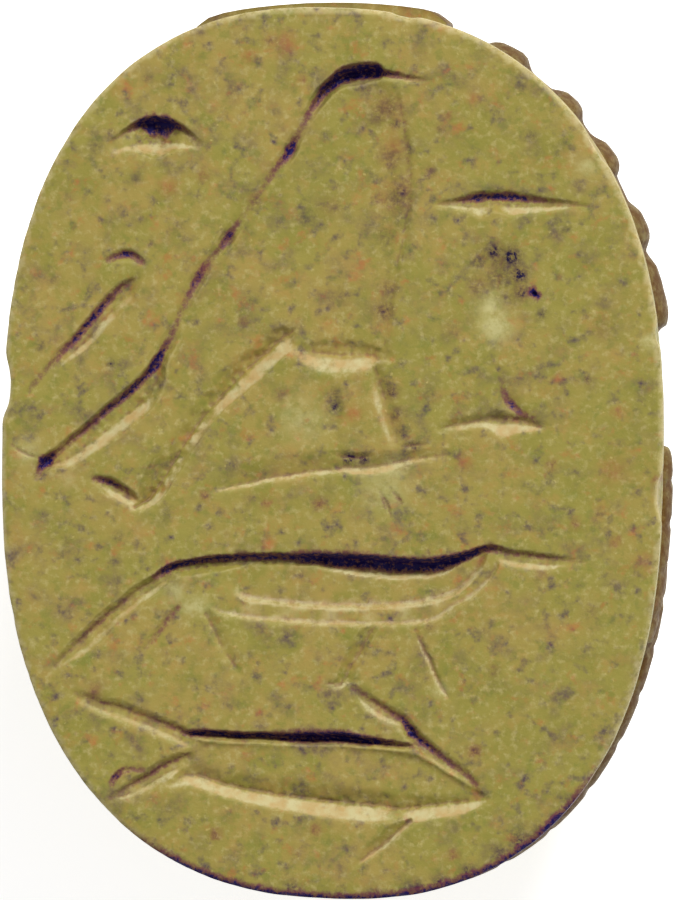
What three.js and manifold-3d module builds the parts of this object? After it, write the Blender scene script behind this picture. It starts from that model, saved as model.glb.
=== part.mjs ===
// A scarab seal of glazed steatite: a beetle lying on its back, its oval seal face turned up (+Z).
// Millimetres. The beetle's head points along +Y. A falcon, a crocodile and a fish are cut into the face.
import * as THREE from "three";
import { mergeVertices } from "three/addons/utils/BufferGeometryUtils.js";
import Module from "manifold-3d";

const wasm = await Module();
wasm.setup();

// Driving dimensions.
const LENGTH = 18; // head end to tail end of the seal face
const WIDTH = 13.42;
const HEIGHT = 8;
const PLATE = 1.4; // thickness of the seal's base plate at its edge
const BACK_RISE = 4.1; // from the flat spot on the back up to the edge of the wing cases
const FLAT_SPOT = 3.5; // width of the flat spot worn on the top of the back
const BORE = 1.7; // diameter of the threading hole
const EDGE_BEVEL = 0.18; // worn round edge of the seal face
const UNDERCUT = 0.5; // how far the leg zone is cut in behind the plate's edge
const BACK_INSET = 0.45; // how far the wing cases stay behind the plate's edge, at the sides
const NECK_INSET = 1.8; // how far the back stops short of the head end
const HEAD_WIDTH = 5.2;
const HEAD_REACH = 0.1; // how far the head shows past the plate
const LEG_REACH = 0.12; // how far the toothed forelegs show past the plate
const THIGH_REACH = 0.06; // the same for the smooth middle and hind legs
const EYE = 1.3; // diameter of an eye
const TEETH = 5; // lobes on each foreleg
const TOOTH_DEPTH = 0.25; // how far the gaps between them are cut in
const FIRST_TOOTH = 25.5; // degrees round from the oval's side to the middle of the first tooth
const TOOTH_PITCH = 10.2; // degrees
const SUTURE_GAP = 0.5; // between the two lines down the middle of the wing cases
const BACK_LINE = 0.28; // width of the lines cut in the back
const BACK_LINE_DEPTH = 0.14;
const CHIP = 1.1; // length of the largest chip in the face's edge
const CHIP_DEPTH = 0.15;
const CUT_WIDTH = 0.5; // a wide sloping wall of a cut in the seal face
const CUT_DEPTH = 0.42; // the deepest cuts in the seal face

// Levels that follow from them.
const HALF_LENGTH = LENGTH / 2;
const HALF_WIDTH = WIDTH / 2;
const PLATE_UNDER = HEIGHT - PLATE;
const LEG_ZONE = PLATE_UNDER - BACK_RISE;
const BORE_LEVEL = BACK_RISE + 0.4 * LEG_ZONE;

// Fineness of the facets.
const AROUND = 80;
const OVERLAP = 0.3; // how far joined forms run into each other
const GOUGE_STEP = LENGTH / 22; // longest facet along a cut
const RIDGE_STEP = 6; // degrees, the longest facet along a leg
const RIDGE_END = 0.4; // how much slimmer a leg's ridge is at its ends
const FACE_LIFT = 0.15; // how far a cutting tool stands out of the flat face, as a share of its depth
const BACK_LIFT = 0.8; // the same on the back, whose facets lie a little off its true curve
const END_SHARE = 0.3; // what is left of a cut's width and depth at its ends

// The oval is a superellipse, cut by eye, so it is a little out of true.
const OVAL_POWER = 2.35;
const OUT_OF_TRUE = [
  { lobes: 2, share: 0.0049, turn: -97 },
  { lobes: 4, share: 0.0063, turn: 136 },
];

function ovalRadius(angle) {
  const across = Math.abs(Math.cos(angle) / HALF_WIDTH) ** OVAL_POWER;
  const along = Math.abs(Math.sin(angle) / HALF_LENGTH) ** OVAL_POWER;
  let radius = (across + along) ** (-1 / OVAL_POWER);
  for (const { lobes, share, turn } of OUT_OF_TRUE) {
    radius *= 1 + share * Math.cos(lobes * angle - THREE.MathUtils.degToRad(turn));
  }
  return radius;
}

// A point beside the oval's edge: so far out from it (or in, if negative), at a height.
function besideEdge(degrees, out, height) {
  const angle = THREE.MathUtils.degToRad(degrees);
  const radius = ovalRadius(angle) + out;
  return new THREE.Vector3(radius * Math.cos(angle), radius * Math.sin(angle), height);
}

// A geometry's closed surface as a solid that can be joined and cut.
function solidOf(geometry) {
  geometry.deleteAttribute("normal");
  geometry.deleteAttribute("uv");
  const merged = mergeVertices(geometry);
  const vertProperties = new Float32Array(merged.attributes.position.array);
  const triVerts = new Uint32Array(merged.index.array);
  return new wasm.Manifold(new wasm.Mesh({ numProp: 3, vertProperties, triVerts }));
}

function join(solids) {
  return solids.reduce((joined, solid) => joined.add(solid));
}

// Moves every vertex of a geometry to where place(x, y, z) says.
function reshape(geometry, place) {
  const position = geometry.attributes.position;
  for (let i = 0; i < position.count; i++) {
    const spot = place(position.getX(i), position.getY(i), position.getZ(i));
    position.setXYZ(i, spot.x, spot.y, spot.z);
  }
  return geometry;
}

// A form turned from a profile of [share of the radius, height], then pulled into the oval.
// front and back say how far it stops short of the oval's two ends, side how far at its sides.
function ovalTurning(profile, { side = 0, front = 0, back = 0 } = {}) {
  const points = profile.map(([share, height]) => new THREE.Vector2(share, height));
  const turned = new THREE.LatheGeometry(points, AROUND).rotateX(Math.PI / 2);
  const acrossScale = 1 - side / HALF_WIDTH;
  const alongScale = 1 - (front + back) / LENGTH;
  const shift = (back - front) / 2;
  return solidOf(
    reshape(turned, (x, y, z) => {
      const share = Math.hypot(x, y);
      const angle = Math.atan2(y, x);
      const radius = share * ovalRadius(angle);
      return new THREE.Vector3(
        radius * Math.cos(angle) * acrossScale,
        radius * Math.sin(angle) * alongScale + shift,
        z,
      );
    }),
  );
}

// A closed bar with so many sides; cornerAt(t, k) is the place of corner k at share t of its length.
function bar(sides, steps, cornerAt) {
  const rod = new THREE.CylinderGeometry(1, 1, 1, sides, steps);
  const turn = (2 * Math.PI) / sides;
  return solidOf(
    reshape(rod, (x, y, z) => {
      const t = Math.round((y + 0.5) * steps) / steps;
      if (Math.hypot(x, z) > 0.5) {
        const k = Math.round(Math.atan2(x, z) / turn + sides) % sides;
        return cornerAt(t, k);
      }
      const middle = new THREE.Vector3();
      for (let k = 0; k < sides; k++) middle.addScaledVector(cornerAt(t, k), 1 / sides);
      return middle;
    }),
  );
}

// The base plate, with the worn edge of the seal face and an undercut lower edge.
function basePlate() {
  const inset = (distance) => 1 - distance / HALF_WIDTH;
  return ovalTurning([
    [0, PLATE_UNDER - OVERLAP],
    [inset(UNDERCUT), PLATE_UNDER - OVERLAP],
    [inset(EDGE_BEVEL), PLATE_UNDER],
    [inset(EDGE_BEVEL / 3), PLATE_UNDER + EDGE_BEVEL],
    [1, HEIGHT - 2 * EDGE_BEVEL],
    [inset(EDGE_BEVEL / 4), HEIGHT - EDGE_BEVEL / 2],
    [inset(EDGE_BEVEL), HEIGHT],
    [0, HEIGHT],
  ]);
}

// The wall behind the legs.
function legWall() {
  return ovalTurning(
    [
      [0, BACK_RISE - OVERLAP],
      [1, BACK_RISE - OVERLAP],
      [1, PLATE_UNDER],
      [0, PLATE_UNDER],
    ],
    { side: UNDERCUT + OVERLAP, front: UNDERCUT + OVERLAP, back: UNDERCUT + OVERLAP },
  );
}

// The domed back: how high its surface lies at a share of the way from its middle to its edge.
const BACK_POWER = 2.25;
const BACK_HALF_WIDTH = HALF_WIDTH - BACK_INSET;
const FLAT_SHARE = FLAT_SPOT / 2 / BACK_HALF_WIDTH;

function backHeight(share) {
  if (share <= FLAT_SHARE) return 0;
  const fall = (1 - share ** BACK_POWER) / (1 - FLAT_SHARE ** BACK_POWER);
  return BACK_RISE * (1 - Math.max(0, fall) ** (1 / BACK_POWER));
}

function back() {
  const rings = 9;
  const profile = [
    [0, 0],
    [FLAT_SHARE, 0],
  ];
  for (let i = 1; i <= rings; i++) {
    const share = FLAT_SHARE + (1 - FLAT_SHARE) * Math.sin((i / rings) * (Math.PI / 2));
    profile.push([share, backHeight(share)]);
  }
  profile.push([1 - OVERLAP / HALF_WIDTH, BACK_RISE + OVERLAP]);
  profile.push([0, BACK_RISE + OVERLAP]);
  return ovalTurning(profile, { side: BACK_INSET, front: NECK_INSET, back: BACK_INSET });
}

// The surface of the back below a point of the plan, with its outward normal.
function onBack(x, y) {
  const alongScale = 1 - (NECK_INSET + BACK_INSET) / LENGTH;
  const heightAt = (px, py) => {
    const across = px / (BACK_HALF_WIDTH / HALF_WIDTH);
    const along = (py - (BACK_INSET - NECK_INSET) / 2) / alongScale;
    const share = Math.hypot(across, along) / ovalRadius(Math.atan2(along, across));
    return backHeight(Math.min(share, 1));
  };
  const reach = BACK_HALF_WIDTH / 100;
  const slopeX = (heightAt(x + reach, y) - heightAt(x - reach, y)) / (2 * reach);
  const slopeY = (heightAt(x, y + reach) - heightAt(x, y - reach)) / (2 * reach);
  return {
    point: new THREE.Vector3(x, y, heightAt(x, y)),
    normal: new THREE.Vector3(slopeX, slopeY, -1).normalize(),
  };
}

function onFace(x, y) {
  return { point: new THREE.Vector3(x, y, HEIGHT), normal: new THREE.Vector3(0, 0, 1) };
}

// A V-shaped cut along a smooth line of points in the plan, running out shallow at its ends. left and
// right are the widths of its two walls, seen from outside along the line, and depth is how deep it goes.
// The tool that cuts it stands out of the surface by lift, a share of its depth.
function gouge(surface, lift, line, left, right, depth) {
  const curve = new THREE.SplineCurve(line);
  const steps = Math.max(2, Math.ceil(curve.getLength() / GOUGE_STEP));
  const sections = curve.getSpacedPoints(steps).map((spot, i, all) => {
    const before = all[Math.max(0, i - 1)];
    const after = all[Math.min(steps, i + 1)];
    const { point, normal } = surface(spot.x, spot.y);
    const forward = surface(after.x, after.y).point.sub(surface(before.x, before.y).point);
    const toLeft = normal.clone().cross(forward).normalize();
    const share = i === 0 || i === steps ? END_SHARE : 1;
    const top = point.clone().addScaledVector(normal, lift * depth * share);
    const wall = (width) => toLeft.clone().multiplyScalar(width * (1 + lift) * share);
    return [
      top.clone().add(wall(left)),
      top.clone().add(wall(-right)),
      point.clone().addScaledVector(normal, -depth * share),
    ];
  });
  return bar(3, steps, (t, k) => sections[Math.round(t * steps)][k]);
}

// A cut in the seal face: wall widths and depth are shares of CUT_WIDTH and CUT_DEPTH.
function faceCut(line, left, right, depth) {
  return gouge(onFace, FACE_LIFT, line, left * CUT_WIDTH, right * CUT_WIDTH, depth * CUT_DEPTH);
}

// A cut in the back, of one width and depth.
function backCut(line) {
  return gouge(onBack, BACK_LIFT, line, BACK_LINE / 2, BACK_LINE / 2, BACK_LINE_DEPTH);
}

// A shallow sunk field with sloping walls; its depth is a share of CUT_DEPTH.
function sunkField(line, depth) {
  const outline = new THREE.SplineCurve([...line, line[0]]).getPoints(2 * line.length);
  const slope = 0.15 * CUT_WIDTH;
  const field = new THREE.ExtrudeGeometry(new THREE.Shape(outline), {
    depth: CUT_DEPTH,
    bevelThickness: depth * CUT_DEPTH,
    bevelSize: slope,
    bevelOffset: -slope,
    bevelSegments: 1,
  });
  return solidOf(field.translate(0, 0, HEIGHT));
}

// A place on the seal face, in shares of its half width and half length from its middle.
function at(across, along) {
  return new THREE.Vector2(across * HALF_WIDTH, along * HALF_LENGTH);
}

function falcon() {
  const body = [
    at(0.02, 0.83),
    at(0.16, 0.84),
    at(0.21, 0.6),
    at(0.17, 0.32),
    at(0.14, 0.19),
    at(-0.04, 0.18),
    at(-0.11, 0.25),
    at(-0.28, 0.16),
    at(-0.39, 0.07),
    at(-0.5, 0.14),
    at(-0.31, 0.48),
    at(-0.13, 0.67),
  ];
  const headAndBack = [at(0.16, 0.856), at(0.07, 0.858), at(-0.02, 0.8), at(-0.13, 0.67), at(-0.31, 0.48)];
  const wing = [at(-0.31, 0.48), at(-0.42, 0.365), at(-0.52, 0.21), at(-0.69, 0.09), at(-0.86, -0.02)];
  const breast = [at(0.18, 0.815), at(0.21, 0.57), at(0.17, 0.32), at(0.154, 0.245)];
  const tail = [at(-0.14, 0.26), at(-0.28, 0.17), at(-0.41, 0.05), at(-0.58, -0.09)];
  const ground = [at(-0.35, -0.08), at(-0.04, -0.03), at(0.13, -0.027), at(0.33, -0.005)];
  const nearLeg = [at(-0.01, 0.155), at(0.015, 0.095), at(0.01, 0.03)];
  const farLeg = [at(0.163, 0.178), at(0.2, 0.065), at(0.22, 0.016)];
  return [
    sunkField(body, 0.26),
    faceCut(headAndBack, 0.5, 0.2, 1),
    faceCut([at(0.16, 0.847), at(0.27, 0.838)], 0.16, 0.16, 0.3),
    faceCut(wing, 0.9, 0.2, 0.7),
    faceCut(breast, 0.2, 0.6, 0.3),
    faceCut(tail, 0.7, 1, 0.67),
    faceCut([at(-0.7, -0.077), at(-0.565, -0.104)], 0.24, 0.44, 0.6),
    faceCut([at(-0.08, 0.23), at(0.14, 0.216)], 1, 0.8, 0.5),
    faceCut(nearLeg, 0.2, 1.4, 0.43),
    faceCut(farLeg, 0.4, 0.3, 0.43),
    faceCut([at(0.01, -0.007), at(0.13, -0.007)], 0.3, 0.2, 0.36),
    faceCut(ground, 0.8, 0.3, 0.3),
  ];
}

// Plain strokes in the places of the seal's small signs: they spell nothing.
function strokes() {
  const row = [at(0.32, 0.565), at(0.52, 0.572), at(0.755, 0.559)];
  const hollow = [at(0.43, 0.41), at(0.5, 0.452), at(0.575, 0.41)];
  const foot = [at(0.33, 0.072), at(0.54, 0.095), at(0.64, 0.072)];
  const pit = [at(-0.61, 0.734), at(-0.526, 0.743), at(-0.435, 0.725)];
  return [
    faceCut(row, 0.24, 0.6, 0.52),
    faceCut(hollow, 0.2, 1.6, 0.43),
    faceCut(foot, 0.4, 0.5, 0.3),
    faceCut(pit, 0.24, 1, 1),
    faceCut([at(-0.665, 0.437), at(-0.571, 0.432)], 0.24, 0.4, 0.5),
    faceCut([at(-0.595, 0.369), at(-0.69, 0.31), at(-0.86, 0.178)], 0.7, 0.24, 0.5),
  ];
}

function crocodile() {
  const body = [
    at(-0.51, -0.27),
    at(-0.25, -0.24),
    at(0.2, -0.25),
    at(0.48, -0.225),
    at(0.45, -0.29),
    at(0.33, -0.345),
    at(0.05, -0.378),
    at(-0.35, -0.356),
  ];
  const belly = [at(-0.45, -0.27), at(0.44, -0.25), at(0.33, -0.315), at(-0.38, -0.31)];
  const tail = [at(-0.82, -0.475), at(-0.7, -0.396), at(-0.55, -0.302), at(-0.45, -0.26)];
  const spine = [at(-0.45, -0.26), at(-0.25, -0.241), at(0.05, -0.248), at(0.2, -0.255), at(0.46, -0.228)];
  const snout = [at(0.46, -0.228), at(0.61, -0.232), at(0.755, -0.239)];
  return [
    sunkField(body, 0.26),
    sunkField(belly, 0.55),
    faceCut(tail, 0.24, 0.5, 0.52),
    faceCut(spine, 0.12, 0.6, 1),
    faceCut(snout, 0.2, 0.4, 0.4),
    faceCut([at(-0.44, -0.333), at(-0.58, -0.446)], 0.2, 0.24, 0.2),
    faceCut([at(-0.384, -0.356), at(-0.278, -0.486)], 0.24, 0.3, 0.3),
    faceCut([at(0.121, -0.378), at(0.039, -0.505)], 0.24, 0.3, 0.3),
    faceCut([at(0.251, -0.378), at(0.341, -0.536)], 0.2, 0.2, 0.25),
  ];
}

function fish() {
  const body = [
    at(-0.42, -0.63),
    at(0.2, -0.65),
    at(0.34, -0.68),
    at(0.46, -0.76),
    at(0.33, -0.797),
    at(0.05, -0.81),
    at(-0.25, -0.768),
    at(-0.43, -0.72),
  ];
  return [
    sunkField(body, 0.26),
    faceCut([at(-0.42, -0.626), at(-0.07, -0.644), at(0.2, -0.662)], 0.12, 0.36, 0.83),
    faceCut([at(-0.43, -0.707), at(-0.1, -0.757), at(0.2, -0.779), at(0.45, -0.761)], 1, 0.8, 0.67),
    faceCut([at(-0.76, -0.55), at(-0.52, -0.608), at(-0.4, -0.644)], 0.2, 0.4, 0.43),
    faceCut([at(-0.665, -0.768), at(-0.55, -0.723), at(-0.414, -0.685)], 0.2, 0.4, 0.48),
    faceCut([at(0.08, -0.532), at(0.26, -0.644), at(0.44, -0.745)], 0.2, 0.5, 0.48),
    faceCut([at(0.242, -0.829), at(0.094, -0.903)], 0.2, 0.4, 0.3),
  ];
}

// The lines of the back: the border of the neck shield, the double seam of the wing cases, and a short
// notch at each shoulder.
function backLines() {
  const border = 0.1;
  const seamEnd = -0.89;
  const lines = [backCut([at(-0.86, border - 0.03), at(0, border + 0.03), at(0.86, border - 0.03)])];
  for (const side of [-1, 1]) {
    const seam = (side * SUTURE_GAP) / WIDTH;
    lines.push(backCut([at(seam, border), at(seam, seamEnd)]));
    lines.push(backCut([at(side * 0.8, border - 0.02), at(side * 0.7, border - 0.12)]));
  }
  return lines;
}

// A ridge of the leg zone at one side (1 right, -1 left), following the oval between two angles. Its
// middle runs from one level to another; levels and height are shares of the leg zone, from the back.
function legRidge(side, { from, to, level, endLevel = level, height, reach }) {
  const steps = Math.max(2, Math.ceil(Math.abs(to - from) / RIDGE_STEP));
  const root = -UNDERCUT - 2 * OVERLAP;
  const thickness = height * LEG_ZONE;
  const rounding = 0.3 * thickness;
  const section = [
    [root, 0.5],
    [reach - rounding, 0.5],
    [reach, 0.22],
    [reach, -0.22],
    [reach - rounding, -0.5],
    [root, -0.5],
  ];
  return bar(section.length, steps, (t, k) => {
    const degrees = from + (to - from) * t;
    const [out, rise] = section[side > 0 ? k : section.length - 1 - k];
    const atEnd = t === 0 || t === 1;
    const sunk = atEnd && out > root ? out - RIDGE_END * rounding : out;
    const slim = atEnd ? 1 - RIDGE_END : 1;
    const middle = BACK_RISE + (level + (endLevel - level) * t) * LEG_ZONE;
    return besideEdge(side > 0 ? degrees : 180 - degrees, sunk, middle + rise * thickness * slim);
  });
}

// Three legs on each side, folded along the body; the foreleg is toothed. Angles are in degrees from
// the right-hand side of the oval.
const MIDDLE_LEG = { from: -38, to: 17, level: 0.68, endLevel: 0.25, height: 0.42 };
const HIND_LEG = { from: -84, to: -16, level: 0.7, endLevel: 0.22, height: 0.42 };

function legs() {
  const ridges = [];
  for (const side of [-1, 1]) {
    for (let tooth = 0; tooth < TEETH; tooth++) {
      const centre = FIRST_TOOTH + TOOTH_PITCH * tooth;
      const from = centre - 0.42 * TOOTH_PITCH;
      const to = centre + 0.42 * TOOTH_PITCH;
      ridges.push(legRidge(side, { from, to, level: 0.62, height: 0.62, reach: LEG_REACH }));
    }
    const knee = FIRST_TOOTH - 0.6 * TOOTH_PITCH;
    const claw = FIRST_TOOTH + (TEETH - 0.4) * TOOTH_PITCH;
    ridges.push(
      legRidge(side, { from: knee, to: claw, level: 0.5, height: 0.8, reach: LEG_REACH - TOOTH_DEPTH }),
      legRidge(side, { ...MIDDLE_LEG, reach: THIGH_REACH }),
      legRidge(side, { ...HIND_LEG, reach: -THIGH_REACH }),
    );
  }
  return ridges;
}

// The head: a shield sloping down from the neck to the plate's head end, with an eye at each side.
function head() {
  const half = HEAD_WIDTH / 2;
  const tip = ovalRadius(Math.PI / 2) + HEAD_REACH;
  const neck = HALF_LENGTH - NECK_INSET - 4 * OVERLAP;
  const along = (share) => neck + share * (tip - neck);
  const plan = new THREE.Shape();
  plan.moveTo(-0.85 * half, along(0));
  plan.lineTo(0.85 * half, along(0));
  plan.lineTo(1.05 * half, along(0.35));
  plan.lineTo(half, along(0.85));
  plan.quadraticCurveTo(0.5 * half, along(1), 0, along(1));
  plan.quadraticCurveTo(-0.5 * half, along(1), -half, along(0.85));
  plan.lineTo(-1.05 * half, along(0.35));
  const slab = new THREE.ExtrudeGeometry(plan, {
    depth: 1 - 2 * EDGE_BEVEL,
    bevelThickness: EDGE_BEVEL,
    bevelSize: EDGE_BEVEL,
    bevelOffset: -EDGE_BEVEL,
    bevelSegments: 1,
    curveSegments: 4,
  }).translate(0, 0, EDGE_BEVEL);
  const topAtNeck = 0.42 * BACK_RISE;
  const topAtTip = 0.95 * BACK_RISE;
  const under = PLATE_UNDER + OVERLAP;
  const shield = reshape(slab, (x, y, z) => {
    const top = topAtNeck + ((topAtTip - topAtNeck) * (y - neck)) / (tip - neck);
    return new THREE.Vector3(x, y, top + (under - top) * z);
  });
  const solids = [solidOf(shield)];
  for (const side of [-1, 1]) {
    const eye = new THREE.SphereGeometry(EYE / 2, 14, 9);
    solids.push(solidOf(eye.translate(side * 0.98 * half, along(0.4), 0.8 * BACK_RISE)));
  }
  return solids;
}

// Small bites out of the edge of the seal face: where round the oval, and how large against the largest.
function chips() {
  const places = [
    { degrees: 168.7, share: 1 },
    { degrees: 80.5, share: 0.4 },
    { degrees: 49.3, share: 0.6 },
    { degrees: 19.8, share: 0.35 },
    { degrees: -7, share: 0.75 },
  ];
  return places.map(({ degrees, share }) => {
    const length = CHIP * share;
    const bite = CHIP_DEPTH * Math.sqrt(share);
    const scoop = new THREE.IcosahedronGeometry(length / 2, 1).scale(1, 1, (4 * bite) / length);
    const centre = besideEdge(degrees, length / 2 - bite - EDGE_BEVEL / 2, HEIGHT);
    return solidOf(scoop.translate(centre.x, centre.y, centre.z));
  });
}

// The threading hole, from end to end.
function bore() {
  const hole = new THREE.CylinderGeometry(BORE / 2, BORE / 2, 1.5 * LENGTH, 24);
  return solidOf(hole.translate(0, 0, BORE_LEVEL));
}

// The whole seal, its origin under the middle of its box, on the surface that its back lies on.
function scarab() {
  const whole = join([basePlate(), legWall(), back(), ...head(), ...legs()]);
  const carving = join([...falcon(), ...strokes(), ...crocodile(), ...fish()]);
  const cuts = join([carving, ...backLines(), ...chips(), bore()]);
  const mesh = whole.subtract(cuts).getMesh();
  const geometry = new THREE.BufferGeometry();
  geometry.setAttribute("position", new THREE.BufferAttribute(mesh.vertProperties, 3));
  geometry.setIndex(new THREE.BufferAttribute(mesh.triVerts, 1));
  geometry.computeBoundingBox();
  const middle = geometry.boundingBox.getCenter(new THREE.Vector3());
  geometry.translate(-middle.x, -middle.y, -geometry.boundingBox.min.z);
  geometry.computeVertexNormals();
  return geometry;
}

const glazedStone = new THREE.MeshStandardMaterial({ color: 0x978a4e, roughness: 0.55, metalness: 0 });
const seal = new THREE.Mesh(scarab(), glazedStone);
seal.name = "scarab";

const model = new THREE.Group();
model.add(seal);

export default model;
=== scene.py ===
import bpy
import numpy as np
from mathutils import Matrix, Vector, noise


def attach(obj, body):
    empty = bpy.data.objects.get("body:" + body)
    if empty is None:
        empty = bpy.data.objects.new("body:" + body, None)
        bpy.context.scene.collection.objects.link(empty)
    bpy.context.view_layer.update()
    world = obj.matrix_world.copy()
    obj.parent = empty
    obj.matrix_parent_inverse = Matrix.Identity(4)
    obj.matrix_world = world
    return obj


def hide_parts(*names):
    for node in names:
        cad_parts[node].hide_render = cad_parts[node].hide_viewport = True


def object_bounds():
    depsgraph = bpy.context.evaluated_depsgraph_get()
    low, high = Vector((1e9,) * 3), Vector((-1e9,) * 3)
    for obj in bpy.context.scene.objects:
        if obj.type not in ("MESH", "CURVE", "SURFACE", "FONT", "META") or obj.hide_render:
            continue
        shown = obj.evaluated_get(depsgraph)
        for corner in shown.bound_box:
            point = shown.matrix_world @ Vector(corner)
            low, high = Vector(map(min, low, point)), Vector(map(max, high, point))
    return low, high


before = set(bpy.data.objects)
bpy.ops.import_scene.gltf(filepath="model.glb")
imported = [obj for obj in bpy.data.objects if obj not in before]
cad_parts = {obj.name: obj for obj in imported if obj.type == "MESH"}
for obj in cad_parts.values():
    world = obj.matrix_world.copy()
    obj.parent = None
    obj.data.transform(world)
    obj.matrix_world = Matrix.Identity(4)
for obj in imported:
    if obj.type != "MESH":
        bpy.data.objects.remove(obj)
cad_low, cad_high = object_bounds()


# The base plate: the oval foot of the beetle, whose flat underside is the seal face, turned up here.
# One piece of pale steatite, sawn to an oval, ground flat and rounded by wear at its edge. It is turned
# as a round blank, ring on ring, then pulled into the oval. All the carving is done in millimetres.
MM = 1000  # in a metre
HEIGHT = (cad_high.z - cad_low.z) * MM
LENGTH = 18.0
WIDTH = 13.42
PLATE = 1.4
EDGE_BEVEL = 0.18
UNDERCUT = 0.5
OVERLAP = 0.3  # how far one form runs into the next
OVAL_POWER = 2.35
OUT_OF_TRUE = ((2, 0.0049, -97), (4, 0.0063, 136))  # lobes, share of the radius, degrees turned
AROUND = 128  # corners round a blank
PLATE_UNDER = HEIGHT - PLATE


def oval_radius(angle):
    across = np.abs(np.cos(angle) / (WIDTH / 2)) ** OVAL_POWER
    along = np.abs(np.sin(angle) / (LENGTH / 2)) ** OVAL_POWER
    radius = (across + along) ** (-1 / OVAL_POWER)
    for lobes, share, turn in OUT_OF_TRUE:
        radius = radius * (1 + share * np.cos(lobes * angle - np.radians(turn)))
    return radius


FACE_Y = cad_low.y * MM + oval_radius(-np.pi / 2)  # the oval's middle, where the frame has it


def read(parts, name, width=3, kind=float):
    """What each corner, edge or polygon carries under the name, in rows of that width."""
    found = np.empty(len(parts) * width, dtype=kind)
    parts.foreach_get(name, found)
    return found.reshape(-1, width) if width > 1 else found


def corners(piece):
    return read(piece.data.vertices, "co")


def move_corners(piece, places):
    piece.data.vertices.foreach_set("co", np.asarray(places, dtype=np.float64).ravel())
    piece.data.update()


def select_only(*pieces):
    """Selects these pieces and no others, the first of them active."""
    bpy.ops.object.select_all(action="DESELECT")
    for piece in pieces:
        piece.select_set(True)
    if pieces:
        bpy.context.view_layer.objects.active = pieces[0]


def turned(name, rings, sides=AROUND):
    """A blank turned from rings of (share of the radius, level), lowest first."""
    select_only()
    share, level = rings[0]
    place = (0, 0, level)
    bpy.ops.mesh.primitive_circle_add(vertices=sides, radius=share, fill_type="NGON", location=place)
    blank = bpy.context.object
    blank.name = name
    bpy.ops.object.transform_apply()
    bpy.ops.object.mode_set(mode="EDIT")
    bpy.ops.mesh.select_all(action="SELECT")
    for next_share, next_level in rings[1:]:
        rise = {"value": (0, 0, next_level - level)}
        bpy.ops.mesh.extrude_region_move(TRANSFORM_OT_translate=rise)
        grow = next_share / share
        bpy.ops.transform.resize(value=(grow, grow, 1), center_override=(0, 0, next_level))
        share, level = next_share, next_level
    bpy.ops.mesh.select_all(action="SELECT")
    bpy.ops.mesh.normals_make_consistent(inside=False)
    bpy.ops.object.mode_set(mode="OBJECT")
    return blank


def pull_to_oval(blank, side=0.0, front=0.0, back=0.0):
    """Pulls a turned blank into the oval, short of its sides and ends by so much."""
    x, y, z = corners(blank).T
    share, angle = np.hypot(x, y), np.arctan2(y, x)
    radius = share * oval_radius(angle)
    across = radius * np.cos(angle) * (1 - 2 * side / WIDTH)
    along = radius * np.sin(angle) * (1 - (front + back) / LENGTH) + (back - front) / 2
    move_corners(blank, np.stack([across, along, z], axis=1))
    return blank


def inset(distance):
    """The share of the radius that is left at so far in from the edge."""
    return 1 - 2 * distance / WIDTH


plate = pull_to_oval(turned("plate", [
    (inset(UNDERCUT), PLATE_UNDER - OVERLAP),
    (inset(EDGE_BEVEL), PLATE_UNDER),
    (inset(EDGE_BEVEL / 3), PLATE_UNDER + EDGE_BEVEL),
    (1, HEIGHT - 2 * EDGE_BEVEL),
    (inset(EDGE_BEVEL / 4), HEIGHT - EDGE_BEVEL / 2),
    (inset(EDGE_BEVEL), HEIGHT),
]))


# The back: the domed wing cases and neck shield, carved in the same stone, with a wall under them that
# the legs lie against. The top of the dome has a small flat, so that the seal lies still face up.
BACK_RISE = 4.1
FLAT_SPOT = 3.5
BACK_INSET = 0.45
NECK_INSET = 1.8
BACK_POWER = 2.25
BACK_HALF_WIDTH = WIDTH / 2 - BACK_INSET
FLAT_SHARE = FLAT_SPOT / 2 / BACK_HALF_WIDTH
LEG_ZONE = PLATE_UNDER - BACK_RISE


def back_height(share):
    fall = (1 - np.minimum(share, 1) ** BACK_POWER) / (1 - FLAT_SHARE**BACK_POWER)
    return BACK_RISE * (1 - np.minimum(fall, 1) ** (1 / BACK_POWER))


def back_rings(count=22):
    rings = [(FLAT_SHARE, 0.0)]
    for i in range(1, count + 1):
        share = FLAT_SHARE + (1 - FLAT_SHARE) * np.sin(i / count * np.pi / 2)
        rings.append((share, float(back_height(share))))
    return rings + [(1 - 2 * OVERLAP / WIDTH, BACK_RISE + OVERLAP)]


back = pull_to_oval(turned("back", back_rings()), side=BACK_INSET, front=NECK_INSET, back=BACK_INSET)
wall_inset = UNDERCUT + OVERLAP
wall = turned("leg_wall", [(1, BACK_RISE - OVERLAP), (1, PLATE_UNDER)])
pull_to_oval(wall, side=wall_inset, front=wall_inset, back=wall_inset)


# The legs: three on each side, folded along the wall in the undercut below the plate, the foreleg with
# five teeth. Each is a ridge that was left standing when the stone round it was cut away.
LEG_REACH = 0.18  # past the plate's edge on the right, where the forelegs are less worn
WORN_REACH = 0.02
THIGH_REACH = 0.08
LEG_SIDES = 10
TEETH = ((21, 32), (33.9, 40.2), (45, 50.6), (54.1, 59.1), (63.8, 70))  # degrees round the oval
TOOTH_DEPTH = 0.25
TOOTH_SLANT = 0.09


def beside_edge(degrees, out, level):
    angle = np.radians(degrees)
    radius = oval_radius(angle) + out
    return np.stack([radius * np.cos(angle), radius * np.sin(angle), level], axis=-1)


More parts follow.
